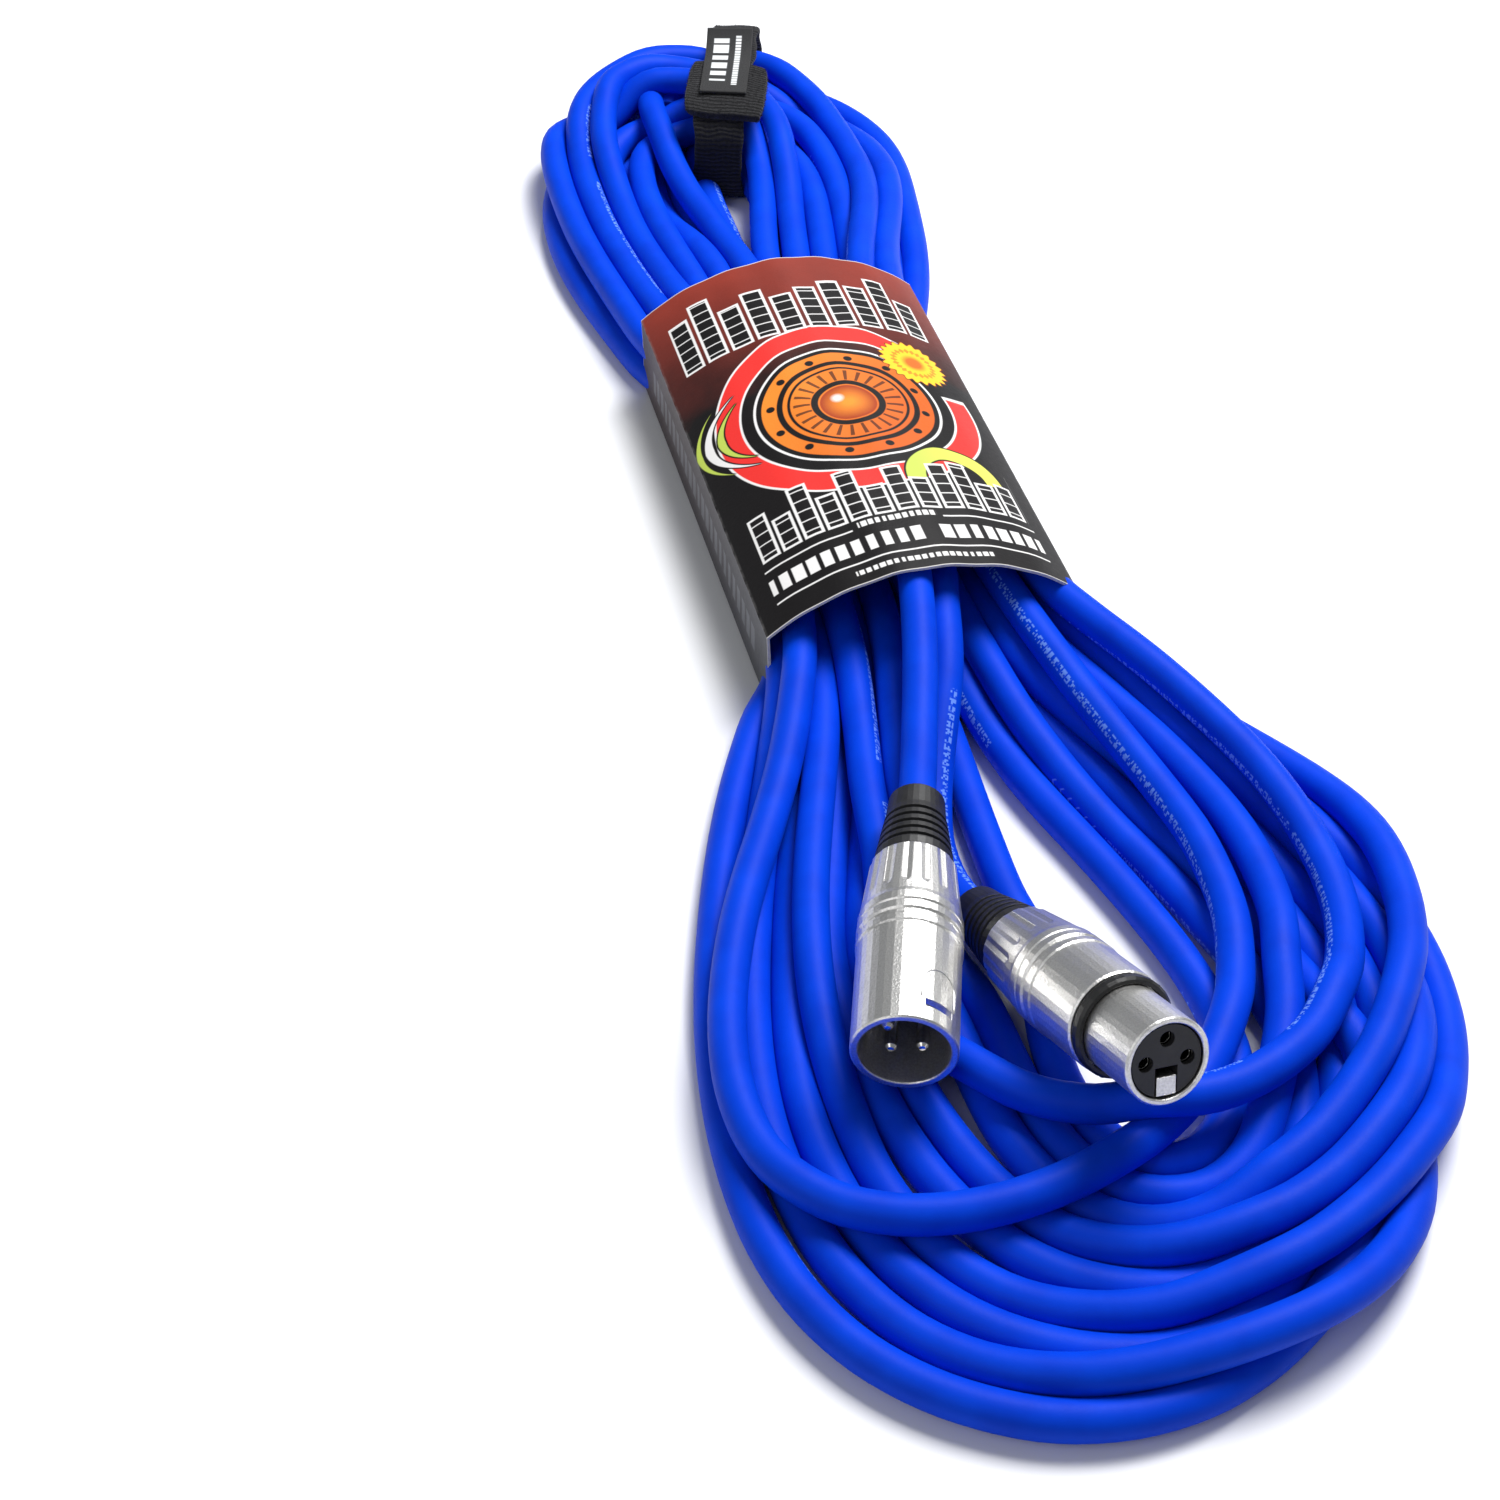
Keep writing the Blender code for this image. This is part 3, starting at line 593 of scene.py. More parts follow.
def webbing_material():
    """Brushed loop webbing: near black, finely ribbed across, with painted shade in the hollows between its
    ribs and cords and random paler lint flecks on its pile.
    """
    rib_pitch, cord_pitch = 1.15, 1.5
    s = Surface("webbing_black", Specular_IOR_Level=0.15, Sheen_Weight=0.35, Sheen_Roughness=0.6,
                Sheen_Tint=(0.35, 0.35, 0.38, 1.0), Roughness=0.95)
    along, across = s.uv(1000.0, 1000.0)
    wander = s.noise(3.0, 2.0) * 1.6
    ribs = ((along + wander) * (2 * math.pi / rib_pitch)).sine() * 0.5 + 0.5
    cords = ((across + wander * 0.5) * (2 * math.pi / cord_pitch)).sine() * 0.5 + 0.5
    height = ribs * 0.45 + cords * 0.15 + s.noise(0.22, 3.0) * 0.6
    # the colour follows the bump's height: painted shade in the hollows between ribs and cords, plus random
    # paler flecks from the noise
    s.paint(s.mix(height.fade(0.3, 1.1), (0.002, 0.002, 0.002), (0.02, 0.02, 0.021)))
    return s.raise_by(height, 0.45).mat


def label_material():
    """A woven label: satin black, with pale blocks and a broken stripe along it."""
    block_pitch, dash_pitch, weave_pitch = 4.4, 1.3, 0.35
    s = Surface("label_woven", Specular_IOR_Level=0.3, Roughness=0.6, Sheen_Weight=0.15)
    along, across = s.uv(1000.0, 1000.0)
    place, number = along.in_cell(block_pitch)
    block = (abs(place) - (number.random() * 1.0 + 1.0)).most(across.band(2.1, -2.0))
    blocks = block.filled() * along.band(11.0, 4.5).filled()
    dash, _ = along.in_cell(dash_pitch)
    stripe = across.band(0.75, 2.6).filled() * dash.band(0.5).filled() * along.band(12.5, 4.0).filled()
    weave = 2 * math.pi / weave_pitch
    warp = (along * weave).sine() * (across * weave).sine() * 0.5 + 0.5
    black = s.mix(warp, (0.006, 0.006, 0.007), (0.018, 0.018, 0.02))
    s.paint(s.mix(blocks.most(stripe), black, (0.8, 0.82, 0.84)))
    return s.raise_by(warp, 0.08).mat


# ---- the card's print

BLACK, WHITE = (0.007, 0.006, 0.0065), (0.82, 0.81, 0.8)
RED, ORANGE, AMBER = (0.80, 0.035, 0.03), (0.62, 0.115, 0.015), (0.85, 0.27, 0.03)
YELLOW, LIME = (0.95, 0.55, 0.03), (0.5, 0.62, 0.1)
PRINT_HALF = 31.2       # the meters end this far from the middle of the arch
CARD_MIDDLE = 16.5      # V at the middle of the sleeve's length
CUT_FROM = 60.75        # the bare cut edges start this far from there
BAR_LINE = 0.32         # half the outline of a meter's bars
# Each meter's foot, the pitch and half the width of its bars, their least height and how much they vary
METERS = ((47.0, 6.3, 2.35, 13.0, 11.0), (-24.5, 5.2, 1.95, 9.0, 8.0))


class Card:
    """The card's print, laid down one colour on another.

    U runs round the sleeve from the middle of its arch and V along it, both in mm. A shape is a distance
    that is below zero inside it.
    """

    def __init__(self, surface):
        self.surface = surface
        self.u, self.v = surface.uv(1000.0, 1000.0)
        self.cloud = surface.noise(14.0, 5.0)
        rust = (self.v + self.cloud * 26.0).fade(42.0, 92.0)
        self.ground = surface.mix(rust, BLACK, (0.26, 0.035, 0.022))

    def lay(self, amount, color):
        self.ground = self.surface.mix(amount, self.ground, color)

    def shape(self, distance, color, border=0.0, border_color=WHITE):
        if border:
            self.lay((distance - border).filled(), border_color)
        self.lay(distance.filled(), color)

    def round_place(self, u, v):
        """X, Y, the distance and the angle from a place on the card."""
        x, y = self.u - u, self.v - v
        return x, y, x.length(y), y.math("ARCTAN2", x)


def print_loudspeaker(card):
    """A loudspeaker seen from the front, in a broken red ring."""
    x, y, r, angle = card.round_place(0.5, 16.0)
    gap = angle.band(0.2, 0.35)
    card.shape(r.band(2.9, 28.0).most(gap * -14.0), RED, 0.55)
    shade = (x * 0.6 + y * -0.35 + card.cloud * 14.0).fade(-12.0, 16.0)
    basket = r - 21.0
    card.shape(basket, BLACK, 0.6)
    card.shape(basket + 1.3, card.surface.mix(shade, AMBER, ORANGE))
    bolt = (angle * (6 / math.pi)).math("FRACT") - 0.5
    card.shape((bolt * 9.0).length(r - 17.6) - 1.0, BLACK)
    for radius, half_width in ((15.5, 0.7), (13.4, 0.35), (7.6, 0.8)):
        card.shape(r.band(half_width, radius), BLACK)
    ribs = (angle * 24.0).sine() * 0.5 + 0.5
    card.lay(ribs.fade(0.75, 0.85) * r.band(1.9, 10.5).filled() * 0.8, BLACK)
    card.shape(r - 6.4, card.surface.mix(r.fade(1.0, 6.0), AMBER, (0.35, 0.05, 0.01)))
    glint = (x + 2.0).length(y - 2.2) - 1.3
    card.lay(glint.filled(0.5) * 0.8, WHITE)


def print_waves(card):
    """Sound waves to the left of the loudspeaker, and an arch below it."""
    x, y = card.u + 8.0, card.v - 18.0
    r = x.length(y * 1.5)
    bend = abs(y.math("ARCTAN2", x * -1.0))
    for radius, spread, color in ((21.5, 0.6, LIME), (24.8, 0.72, WHITE), (27.6, 0.5, LIME)):
        stroke = abs(r - radius) - (bend * -1.6 + spread * 1.6)
        ends = (bend - spread).filled(0.02)
        card.lay((stroke - 0.45).filled() * ends, BLACK)
        card.lay(stroke.filled() * ends, color)
    x, y, r, _ = card.round_place(17.0, -14.0)
    arch = r.band(2.2, 9.5).most(y * -1.0)
    card.shape(arch, card.surface.mix(x.fade(-8.0, 8.0), LIME, (0.75, 0.75, 0.12)), 0.5, BLACK)


def print_sun(card):
    _, _, r, angle = card.round_place(21.5, 33.0)
    wave = (angle * 22.0).sine()
    card.shape(wave * 0.55 + r - 8.0, YELLOW, 0.45, (0.2, 0.03, 0.01))
    card.shape(wave * 0.4 + abs(r - 5.0) - 0.5, (0.75, 0.25, 0.02))
    card.lay((r - 2.6).filled(0.8), (0.6, 0.14, 0.02))


def print_meters(card):
    """Two level meters: outlined bars that stand on one line, cut into segments."""
    kept = card.u.band(PRINT_HALF).filled()
    for base, pitch, half_width, low, spread in METERS:
        place, number = (card.u + 0.3).in_cell(pitch)
        half = ((number + base).random() * spread + low) * 0.5
        rise = card.v - base
        bar = place.band(half_width).most(abs(rise - half) - half)
        card.lay((bar - BAR_LINE).filled() * kept, WHITE)
        card.lay((bar + BAR_LINE).filled() * kept, BLACK)
        segment, _ = rise.in_cell(3.4)
        card.lay(segment.band(0.16).most(bar).filled() * kept, WHITE)


def print_rows(card):
    """Ruled lines, a row of blocks and two rows of dashes."""
    u, v = card.u, card.v
    broken = u.band(10.0, -1.0).filled().outside()
    rules = (v.band(0.22, -27.6).filled() * broken).most(v.band(0.22, -38.0).filled())
    dash, number = u.in_cell(1.5)
    size = (number * 1.3).random() * 0.3 + 0.32
    upper = v.band(0.85, -26.6).filled() * u.band(8.6, -1.0).filled()
    lower = v.band(0.7, -40.9).filled() * u.band(15.0, 1.0).filled()
    dashes = (abs(dash) - size).filled() * upper.most(lower)
    place, number = u.in_cell(3.3)
    blocks = (abs(place) - (number.random() * 0.5 + 0.85)).most(v.band(2.3, -33.0)).filled()
    blocks = blocks * number.band(0.4, 1.0).filled().outside()
    card.lay(rules.most(dashes).most(blocks) * u.band(PRINT_HALF + 0.4).filled(), WHITE)


def print_sides(card):
    """The plain sides: grey, with one row of paler blocks."""
    u, v = card.u, card.v
    color = card.surface.mix(v.fade(70.0, -44.0), (0.045, 0.028, 0.03), (0.07, 0.073, 0.084))
    place, number = v.in_cell(4.2)
    block = (abs(abs(u) - ARCH_HALF - 9.8) - 3.1).most(abs(place) - (number.random() * 0.6 + 1.0))
    faint = block.filled(0.2) * 0.4 * v.band(50.0, 16.0).filled()
    card.lay((abs(u) - ARCH_HALF).fade(-0.1, 0.1), card.surface.mix(faint, color, (0.3, 0.31, 0.34)))


def card_material():
    """Printed card, worn along its folds and bare at its cut edges."""
    s = Surface("card_print", Specular_IOR_Level=0.22)
    card = Card(s)
    for print_part in (print_loudspeaker, print_waves, print_sun, print_meters, print_rows, print_sides):
        print_part(card)
    fold = abs(card.u).band(0.3, ARCH_HALF).filled(0.35) * s.noise(2.0, 4.0).fade(0.3, 0.75)
    cut = (abs(card.v - CARD_MIDDLE) * -1.0 + CUT_FROM).filled(0.1)
    card.lay(fold * 0.5, (0.3, 0.29, 0.29))
    card.lay(cut, (0.62, 0.6, 0.58))
    s.paint(card.ground)
    s.rough(s.noise(1.2, 3.0) * 0.14 + 0.4)
    return s.raise_by(s.noise(0.5, 3.0) + fold * -2.0, 0.03).mat


def card_inside_material():
    s = Surface("card_inside", Specular_IOR_Level=0.2)
    fibre = s.noise(0.8, 4.0)
    s.paint(s.mix(fibre.fade(0.3, 0.7), (0.5, 0.49, 0.46), (0.62, 0.61, 0.58)))
    s.rough(fibre * 0.1 + 0.8)
    return s.raise_by(fibre, 0.05).mat


def floor_material():
    s = Surface("floor_white", Specular_IOR_Level=0.2)
    cloud = s.noise(60.0, 3.0)
    s.paint(s.mix(cloud, (0.87, 0.875, 0.9), (0.885, 0.89, 0.91)))
    s.rough(cloud * 0.05 + 0.5)
    return s.raise_by(s.noise(0.7, 2.0), 0.01).mat


def dress(mat, *nodes):
    """Gives CAD nodes a material."""
    for node in nodes:
        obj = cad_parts[node]
        for place in obj.material_slots:
            place.link = "OBJECT"
            place.material = mat


def dress_connectors():
    nickel = nickel_material("nickel_blasted", (0.93, 0.92, 0.90), (0.62, 0.61, 0.59))
    silver = bright_material("contact_silver", (0.92, 0.9, 0.86), (0.72, 0.69, 0.62))
    copper = bright_material("strand_copper", (0.86, 0.42, 0.24), (0.6, 0.27, 0.15))
    boot = moulded_material("boot_rubber", (0.006, 0.006, 0.007), (0.016, 0.016, 0.018), 0.5, depth=0.03)
    ring = moulded_material("ring_rubber", (0.006, 0.006, 0.006), (0.012, 0.012, 0.012), 0.38)
    insert = moulded_material("insert_plastic", (0.012, 0.012, 0.013), (0.022, 0.022, 0.024), 0.45)
    chuck = moulded_material("chuck_plastic", (0.7, 0.7, 0.66), (0.78, 0.78, 0.75), 0.45)
    core_red = moulded_material("core_red", (0.55, 0.02, 0.02), (0.62, 0.04, 0.03), 0.35)
    core_white = moulded_material("core_white", (0.75, 0.75, 0.72), (0.82, 0.82, 0.8), 0.35)
    dress(nickel, "latch_lever")
    dress(ring, "nose_ring")
    dress(insert, "release_button")
    for side in ("male", "female"):
        dress(nickel, f"{side}_barrel", f"{side}_cap")
        dress(boot, f"{side}_boot")
        dress(insert, f"{side}_insert")
        dress(chuck, f"{side}_chuck")
        dress(core_red, f"{side}_wire_hot")
        dress(core_white, f"{side}_wire_cold")
        dress(copper, f"{side}_wire_shield")
    for k in (1, 2, 3):
        dress(silver, f"male_pin_{k}", f"female_socket_{k}")
    return nickel


# ---- pieces and their edges

def add_piece(name, mesh, body, slot, *nodes):
    """Adds a piece that rides on a body and stands for some CAD nodes, which it hides. The slot argument is
    not used.
    """
    piece = add_object(name, mesh)
    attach(piece, body)
    if nodes:
        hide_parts(*nodes)
    return piece


def finished(bm, name):
    bmesh.ops.recalc_face_normals(bm, faces=bm.faces)
    mesh = bpy.data.meshes.new(name)
    bm.to_mesh(mesh)
    bm.free()
    return mesh


def thicken(piece, thickness, rounds=1):
    solid = piece.modifiers.new("thickness", "SOLIDIFY")
    solid.thickness = thickness * MM
    solid.offset = 0.0
    solid.use_even_offset = True
    solid.use_rim = True
    if rounds:
        soft = piece.modifiers.new("rounded", "SUBSURF")
        soft.levels = soft.render_levels = rounds


# ---- the cable's mesh

def tube_mesh(name, path, radius, sides):
    """A closed tube round a path in mm, with U along its length in metres and V round it."""
    pts = np.asarray(path, float)
    tangents = np.gradient(pts, axis=0)
    tangents /= np.linalg.norm(tangents, axis=1)[:, None]
    normal = np.cross(tangents[0], (0, 0, 1))
    normal /= np.linalg.norm(normal)
    angles = np.linspace(0, 2 * math.pi, sides, endpoint=False)
    rings = []
    for place, tangent in zip(pts, tangents):
        normal = normal - tangent * (normal @ tangent)
        normal /= np.linalg.norm(normal)
        side = np.cross(tangent, normal)
        rings.append(place + radius * (np.cos(angles)[:, None] * normal + np.sin(angles)[:, None] * side))
    verts = np.vstack(rings) * MM
    count = len(pts)
    walked = np.concatenate(([0], np.cumsum(np.linalg.norm(np.diff(pts, axis=0), axis=1)))) * MM
    faces, uvs = [], []
    for i in range(count - 1):
        for k in range(sides):
            a, b = i * sides + k, i * sides + (k + 1) % sides
            faces.append((a, b, b + sides, a + sides))
            low, high = k / sides, (k + 1) / sides
            uvs += [walked[i], low, walked[i], high, walked[i + 1], high, walked[i + 1], low]
    faces.append(tuple(range(sides - 1, -1, -1)))
    faces.append(tuple((count - 1) * sides + k for k in range(sides)))
    mesh = bpy.data.meshes.new(name)
    mesh.from_pydata(verts.tolist(), [], faces)
    uvs += [0.0, 0.0] * (2 * sides)
    mesh.uv_layers.new(name="along").data.foreach_set("uv", uvs)
    mesh.shade_smooth()
    return mesh


def make_cable():
    path = resample(lay_cable(), CABLE_MESH_STEP)
    mesh = tube_mesh("cable", path, CABLE_R, CABLE_SIDES)
    mesh.materials.append(jacket_material())
    cable = add_piece("cable", mesh, "cable", "jacket", "cable_coil", "male_lead", "female_lead")


# ---- sleeve

ARCH_STEPS = 20
SLEEVE_ROWS = 42
SIDE_DROPS = (0.4, 2.0, 5.0, 9.0, 13.0, 16.0)       # below the shoulder
SIDE_BOW = 0.35
CORNER_STEPS = 4
BOTTOM_STEPS = 4
PRESSED_IN = 0.3        # the middle of the arch, into the strands under it


def sleeve_outline():
    """The card's outer outline, from the middle of the arch to the right and round below it, to its middle.

    Each corner is its X, its Z and the distance round to it, in mm.
    """
    corners = []
    for step in range(ARCH_STEPS + 1):
        a = ARCH_HALF_ANGLE * step / ARCH_STEPS
        corners.append((ARCH_RADIUS * math.sin(a), SLEEVE_CROWN - ARCH_RADIUS + ARCH_RADIUS * math.cos(a),
                        ARCH_RADIUS * a))
    w, r = SLEEVE_HALF_WIDTH, SLEEVE_CORNER
    for drop in SIDE_DROPS:
        bow = SIDE_BOW * math.sin(math.pi * drop / SLEEVE_SHOULDER)
        corners.append((w - bow, SLEEVE_SHOULDER - drop, ARCH_HALF + drop))
    low = ARCH_HALF + SLEEVE_SHOULDER - r
    for step in range(CORNER_STEPS + 1):
        a = math.pi / 2 * step / CORNER_STEPS
        corners.append((w - r + r * math.cos(a), r - r * math.sin(a), low + r * a))
    low += r * math.pi / 2
    for step in range(1, BOTTOM_STEPS + 1):
        x = (w - r) * (1 - step / BOTTOM_STEPS)
        corners.append((x, 0.0, low + (w - r) - x))
    return corners


def arch_dent(distance_round, y):
    """How far the arch stands out of its outline, between the strands and over them."""
    if abs(distance_round) >= ARCH_HALF:
        return 0.0
    edge = 1 - (abs(distance_round) / ARCH_HALF) ** 2
    return edge * (0.16 * math.sin(distance_round * 0.55 + y * 0.03)
                   + 0.12 * math.sin(distance_round * 0.23 - y * 0.06)) - PRESSED_IN * edge


def card_grid(bm, ring, inset, rows):
    """The corners of the card's outer or inner skin, row by row along the hank."""
    grid = []
    for y in rows:
        line = []
        for index, (x, z, distance_round) in enumerate(ring):
            before, after = ring[index - 1], ring[(index + 1) % len(ring)]
            tx, tz = after[0] - before[0], after[1] - before[1]
            size = math.hypot(tx, tz)
            outward = arch_dent(distance_round, y) - inset
            line.append(bm.verts.new(((SLEEVE_X + x - tz / size * outward) * MM, y * MM,
                                      (z + tx / size * outward) * MM)))
        grid.append(line)
    return grid


def make_sleeve():
    """The card sleeve, with its arch dented a little between the strands under it."""
    right = sleeve_outline()
    ring = right + [(-x, z, -distance_round) for x, z, distance_round in reversed(right[1:-1])]
    count = len(ring)
    whole_round = 2 * right[-1][2]
    low, high = SLEEVE_LOW[1], SLEEVE_HIGH[1]
    rows = [low + (high - low) * row / SLEEVE_ROWS for row in range(SLEEVE_ROWS + 1)]
    bm = bmesh.new()
    layer = bm.loops.layers.uv.new("print")
    outer, inner = (card_grid(bm, ring, inset, rows) for inset in (0.0, CARD))

    def face(corners, places, index):
        made = bm.faces.new(corners)
        made.smooth = True
        made.material_index = index
        for loop, place in zip(made.loops, places):
            loop[layer].uv = (place[0] * MM, place[1] * MM)

    for row in range(SLEEVE_ROWS):
        y0, y1 = rows[row], rows[row + 1]
        for k in range(count):
            m = (k + 1) % count
            u0, u1 = ring[k][2], ring[m][2]
            if u0 > ARCH_HALF and u1 < 0:
                u1 += whole_round
            face((outer[row][k], outer[row][m], outer[row + 1][m], outer[row + 1][k]),
                 ((u0, y0), (u1, y0), (u1, y1), (u0, y1)), 0)
            face((inner[row][k], inner[row + 1][k], inner[row + 1][m], inner[row][m]),
                 ((u0, y0), (u0, y1), (u1, y1), (u1, y0)), 1)
    for row, turn in ((0, -1), (SLEEVE_ROWS, 1)):
        for k in range(count):
            m = (k + 1) % count
            face((outer[row][k], outer[row][m], inner[row][m], inner[row][k])[::turn], ((0, 0),) * 4, 1)
    mesh = finished(bm, "sleeve")
    mesh.materials.append(card_material())
    mesh.materials.append(card_inside_material())
    mesh.set_sharp_from_angle(angle=math.radians(25))
    add_piece("sleeve", mesh, "sleeve", "card", "card_sleeve")


# ---- tie

TIE_FRAME = (Matrix.Translation((TIE_CENTRE[0] * MM, TIE_CENTRE[1] * MM, 0.0))
             @ Matrix.Rotation(TIE_HEADING, 4, "Z"))
BAND_HALF_WIDTH = 6.7
BAND_MIDDLE = 0.8       # from the strap's outside in to the middle of its thickness
# The strap's corners in order: side of the bundle, top or not, radius, and the angle that each starts at
BAND_CORNERS = ((1, True, 13.0, 90), (1, False, 8.0, 0), (-1, False, 6.0, -90), (-1, True, 8.0, -180))
PAD_MIDDLE, PAD_HALF_LENGTH, PAD_HALF_WIDTH = -17.0, 12.6, 10.8
LABEL_LOW, LABEL_HIGH, LABEL_HALF_WIDTH = -12.5, 19.5, 6.2
LABEL_CURL_FROM = 6.0
FIBRE_RADIUS = 0.045


def sheet_mesh(name, surface, u_range, v_half, u_steps, v_steps, closed=False):
    """A thin sheet: surface(u, v) gives a point in the tie's frame, in mm."""
    bm = bmesh.new()
    layer = bm.loops.layers.uv.new("cloth")
    u_step = (u_range[1] - u_range[0]) / u_steps
    columns = u_steps + (0 if closed else 1)
    us = [u_range[0] + (u_range[1] - u_range[0]) * k / u_steps for k in range(columns)]
    vs = [-v_half + 2 * v_half * k / v_steps for k in range(v_steps + 1)]
    grid = [[bm.verts.new(TIE_FRAME @ (Vector(surface(u, v)) * MM)) for v in vs] for u in us]
    for i in range(u_steps):
        j = (i + 1) % len(us)
        u0, u1 = us[i], us[i] + u_step
        for k in range(v_steps):
            made = bm.faces.new((grid[i][k], grid[i][k + 1], grid[j][k + 1], grid[j][k]))
            made.smooth = True
            places = ((u0, vs[k]), (u0, vs[k + 1]), (u1, vs[k + 1]), (u1, vs[k]))
            for loop, (u, v) in zip(made.loops, places):
                loop[layer].uv = (u * MM, v * MM)
    return finished(bm, name)


def fuzz(piece, seed, count, length):
    """Short bent fibres standing on a piece's outside."""
    depsgraph = bpy.context.evaluated_depsgraph_get()
    shown = piece.evaluated_get(depsgraph).to_mesh()
    rng = np.random.default_rng(seed)
    radius = FIBRE_RADIUS * MM
    faces = [(f.center.copy(), f.normal.copy(), f.area) for f in shown.polygons]
    areas = np.array([f[2] for f in faces])
    verts, polygons = [], []
    for index in rng.choice(len(faces), size=count, p=areas / areas.sum()):
        place, normal, area = faces[index]
        side = normal.orthogonal().normalized()
        other = normal.cross(side)
        spread = math.sqrt(area) * 0.5
        base = place + side * rng.uniform(-spread, spread) + other * rng.uniform(-spread, spread)
        turn = rng.uniform(0, 2 * math.pi)
        lean = side * math.cos(turn) + other * math.sin(turn)
        reach = length * MM * rng.uniform(0.5, 1.2)
        points = (base - normal * 0.05 * MM, base + (normal * 0.7 + lean * 0.3) * reach * 0.6,
                  base + (normal * 0.65 + lean * 0.75) * reach)
        across = lean.cross(normal).normalized() * radius
        start = len(verts)
        for point, share in zip(points, (1.0, 0.8, 0.25)):
            verts += [point + across * share, point - across * share, point + lean * radius * share]
        for low in (start, start + 3):
            for k in range(3):
                a, b = low + k, low + (k + 1) % 3
                polygons.append((a, b, b + 3, a + 3))
    piece.evaluated_get(depsgraph).to_mesh_clear()
    mesh = bpy.data.meshes.new(piece.name + "_pile")
    mesh.from_pydata([tuple(v) for v in verts], [], polygons)
    mesh.materials.append(piece.data.materials[0])
    add_piece(piece.name + "_pile", mesh, "cable", "webbing")


def make_band(cloth):
    """The strap, once round the bundle."""
    half, high, low = TIE_LENGTH / 2 - BAND_MIDDLE, TIE_HEIGHT - BAND_MIDDLE, BAND_MIDDLE
    outline = []
    for side, top, corner, start in BAND_CORNERS:
        middle_y, middle_z = side * (half - corner), high - corner if top else low + corner
        for k in range(9):
            a = math.radians(start - 11.25 * k)
            outline.append((middle_y + corner * math.cos(a), middle_z + corner * math.sin(a), 0.0))
    ring = resample(np.array(outline + outline[:1]), 2.0)
    total = length_of(ring)

    def strap(u, v):
        place = (u / total) % 1.0 * (len(ring) - 1)
        k = int(place)
        y, z, _ = ring[k] + (ring[min(k + 1, len(ring) - 1)] - ring[k]) * (place - k)
        wobble = 0.25 * math.sin(u * 0.31) + 0.15 * math.sin(u * 0.83)
        width = 1.0 - 0.05 * math.sin(u * 0.2)
        return v * width + wobble, y, max(0.9, z + 0.2 * math.sin(v * 0.5 + u * 0.12) * (z > 5))

    mesh = sheet_mesh("tie_band", strap, (0, total), BAND_HALF_WIDTH, 96, 10, closed=True)
    mesh.materials.append(cloth)
    band = add_piece("tie_band", mesh, "cable", "webbing", "tie_strap")
    thicken(band, TIE_THICK)
    fuzz(band, 11, 5200, 0.55)


def make_pad(cloth):
    """The tie's wide head, which bends down over the bundle's inner edge."""

    def head(u, v):
        """u runs along the tie's length, v across it."""
        from_middle = u - PAD_MIDDLE
        edge = max(abs(v) / PAD_HALF_WIDTH, abs(from_middle) / PAD_HALF_LENGTH)
        pinch = 0.9 - 0.55 * max(0.0, edge - 0.82) / 0.18
        droop = 0.05 * max(0.0, -20.0 - u) ** 1.6 + 0.004 * v * v
        swell = 0.35 * math.cos(v * 0.29) * math.cos(from_middle * 0.2)
        width = 1.0 - 0.10 * (abs(from_middle) / PAD_HALF_LENGTH) ** 4
        length = 1.0 - 0.08 * (abs(v) / PAD_HALF_WIDTH) ** 4
        return (1.0 + v * width, PAD_MIDDLE + from_middle * length + 0.4 * math.sin(v * 0.3) - 0.14 * v,
                TIE_HEIGHT + 1.35 + swell * pinch - droop)

    mesh = sheet_mesh("tie_pad", head, (PAD_MIDDLE - PAD_HALF_LENGTH, PAD_MIDDLE + PAD_HALF_LENGTH),
                      PAD_HALF_WIDTH, 30, 24)
    mesh.materials.append(cloth)
    pad = add_piece("tie_pad", mesh, "cable", "webbing", "tie_head")
    thicken(pad, 2.5)
    fuzz(pad, 12, 4200, 0.6)


def make_label():
    """The woven label, flat on the head and then curling up at its far end."""

    def band(u, v):
        curl = max(0.0, u - LABEL_CURL_FROM) ** 2
        return (0.3 + v - 0.02 * u, -10.5 + u - 0.012 * curl,
                TIE_HEIGHT + 3.15 + 0.02 * curl + 0.0015 * (u + 11.0) * v)

    mesh = sheet_mesh("tie_label_band", band, (LABEL_LOW, LABEL_HIGH), LABEL_HALF_WIDTH, 44, 14)
    mesh.materials.append(label_material())
    thicken(add_piece("tie_label_band", mesh, "cable", "woven_label", "tie_label"), 0.55, 0)


def make_tie():
    cloth = webbing_material()
    make_band(cloth)
    make_pad(cloth)
    make_label()


# ---- connector details

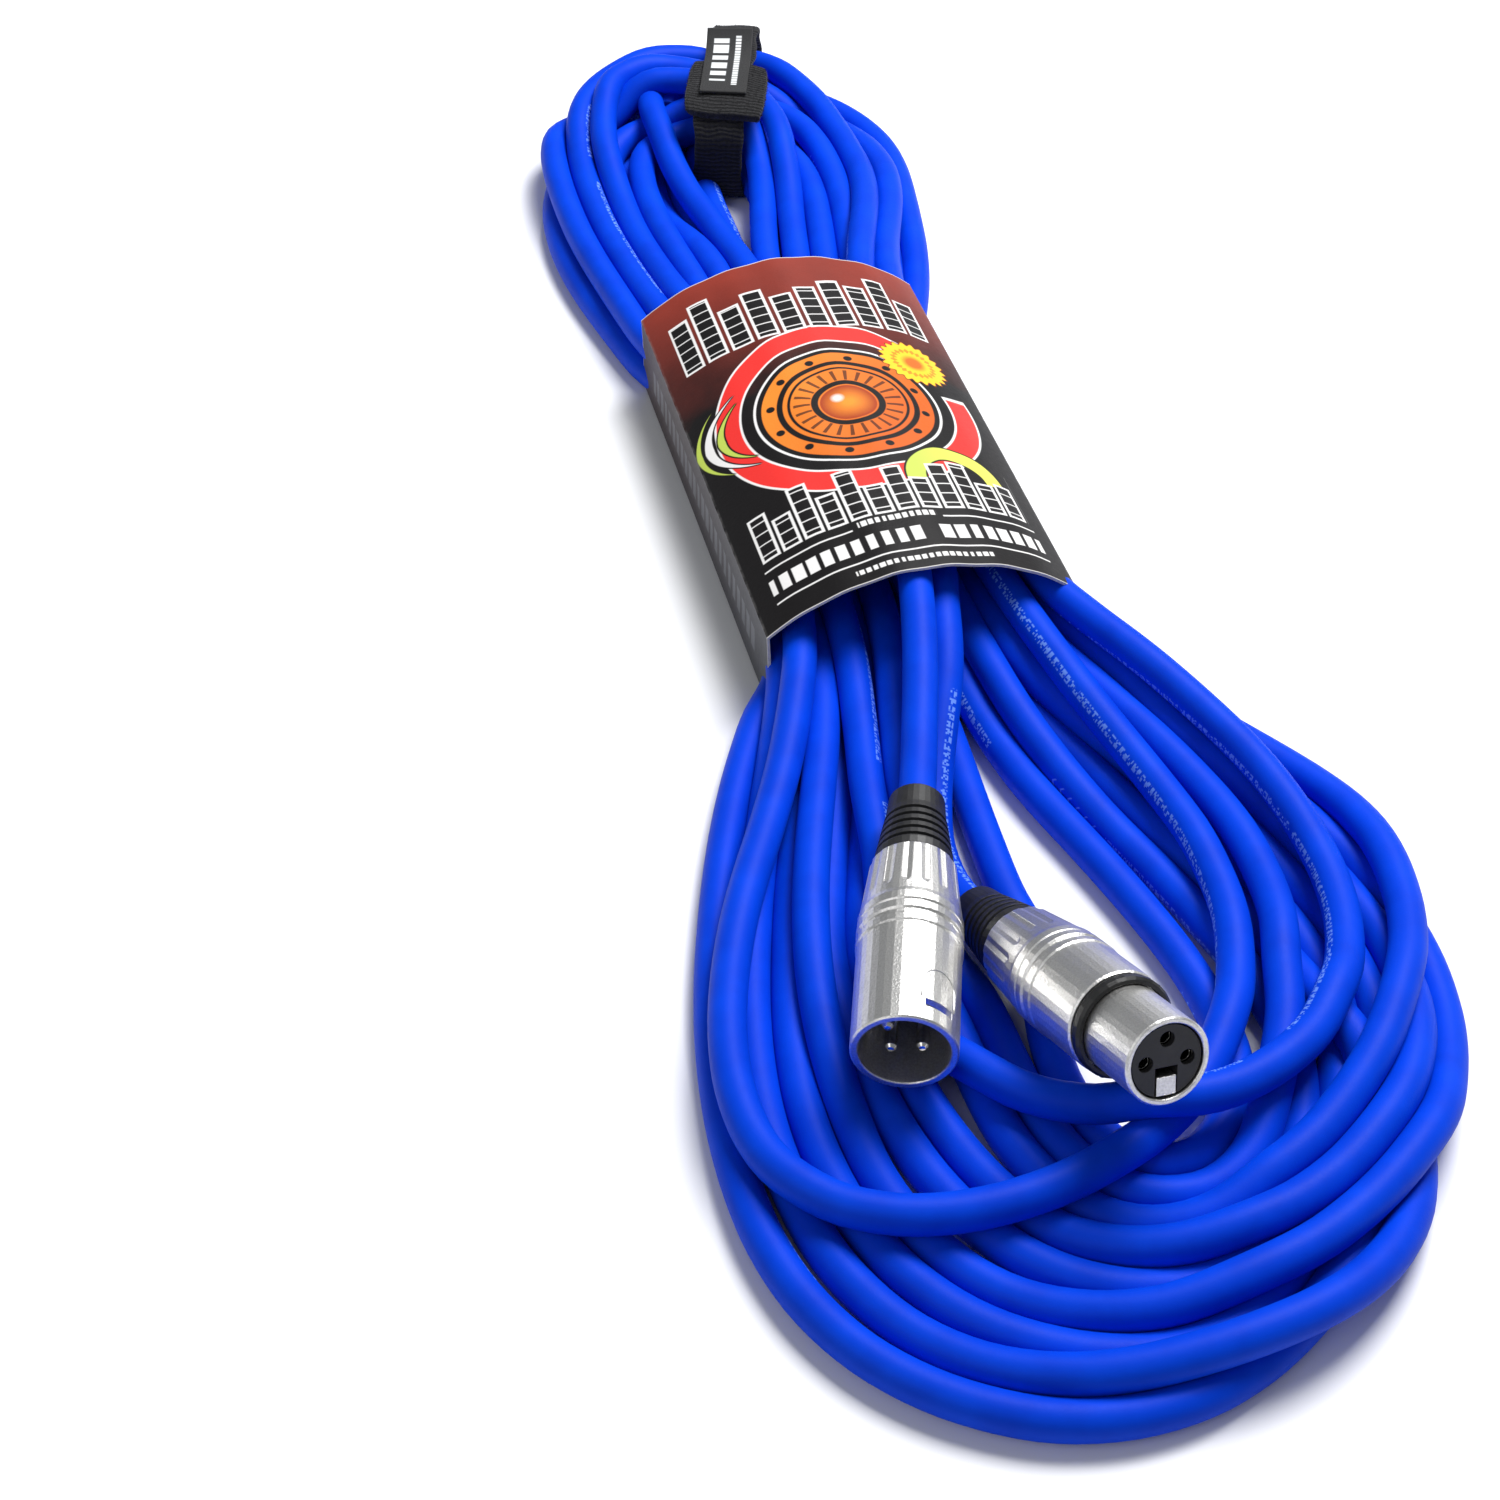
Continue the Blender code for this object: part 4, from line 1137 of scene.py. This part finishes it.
PANEL_RADIUS = 9.48             # from the connector's axis to the bead
PANEL_HALF_WIDTH = 3.7
PANEL_FRONT, PANEL_BEND, PANEL_ARC = -5.2, -7.0, -8.6       # distances along the connector
PANEL_BEAD, PANEL_SIDES = 0.16, 8


def make_catch_panel(nickel):
    """The raised D-shaped outline behind the male barrel's catch window."""
    half = PANEL_HALF_WIDTH
    turns = [math.pi * k / 24 for k in range(25)]
    arc = [(half * math.cos(a), PANEL_ARC - half * math.sin(a)) for a in turns]
    outline = [(half, PANEL_FRONT), (half, PANEL_BEND)] + arc + [(-half, PANEL_BEND), (-half, PANEL_FRONT)]
    points = []
    for across, z in outline:
        turn = across / PANEL_RADIUS
        points.append(MALE.at(z, PANEL_RADIUS * math.cos(turn), PANEL_RADIUS * math.sin(turn)))
    mesh = tube_mesh("catch_panel_edge", points, PANEL_BEAD, PANEL_SIDES)
    mesh.materials.append(nickel)
    add_piece("catch_panel_edge", mesh, "cable", "nickel")


# ---- floor and light

FLOOR_HALF = 4              # metres
SKY, SKY_STRENGTH = (0.92, 0.96, 1.0, 1), 0.2
LIGHTS = (                  # name, place in metres, size and power; each points at the origin
    ("key", (0.42, 0.3, 0.95), 0.55, 18.5),
    ("fill", (-0.8, -0.5, 0.7), 0.8, 2.2),
)


def make_stage():
    h = FLOOR_HALF
    mesh = bpy.data.meshes.new("floor")
    mesh.from_pydata([(-h, -h, 0), (h, -h, 0), (h, h, 0), (-h, h, 0)], [], [(0, 1, 2, 3)])
    floor = add_object("floor", mesh)
    mesh.materials.append(floor_material())

    world = bpy.data.worlds.new("studio")
    world.use_nodes = True
    background = world.node_tree.nodes["Background"]
    background.inputs["Color"].default_value = SKY
    background.inputs["Strength"].default_value = SKY_STRENGTH
    bpy.context.scene.world = world
    bpy.context.scene.view_settings.view_transform = "Standard"

    for name, place, size, power in LIGHTS:
        data = bpy.data.lights.new(name, "AREA")
        data.size = size
        data.energy = power
        lamp = add_object(name, data)
        lamp.location = place
        lamp.rotation_euler = (-Vector(place)).to_track_quat("-Z", "Y").to_euler()


make_camera()
make_cable()
make_sleeve()
make_tie()
make_catch_panel(dress_connectors())
make_stage()
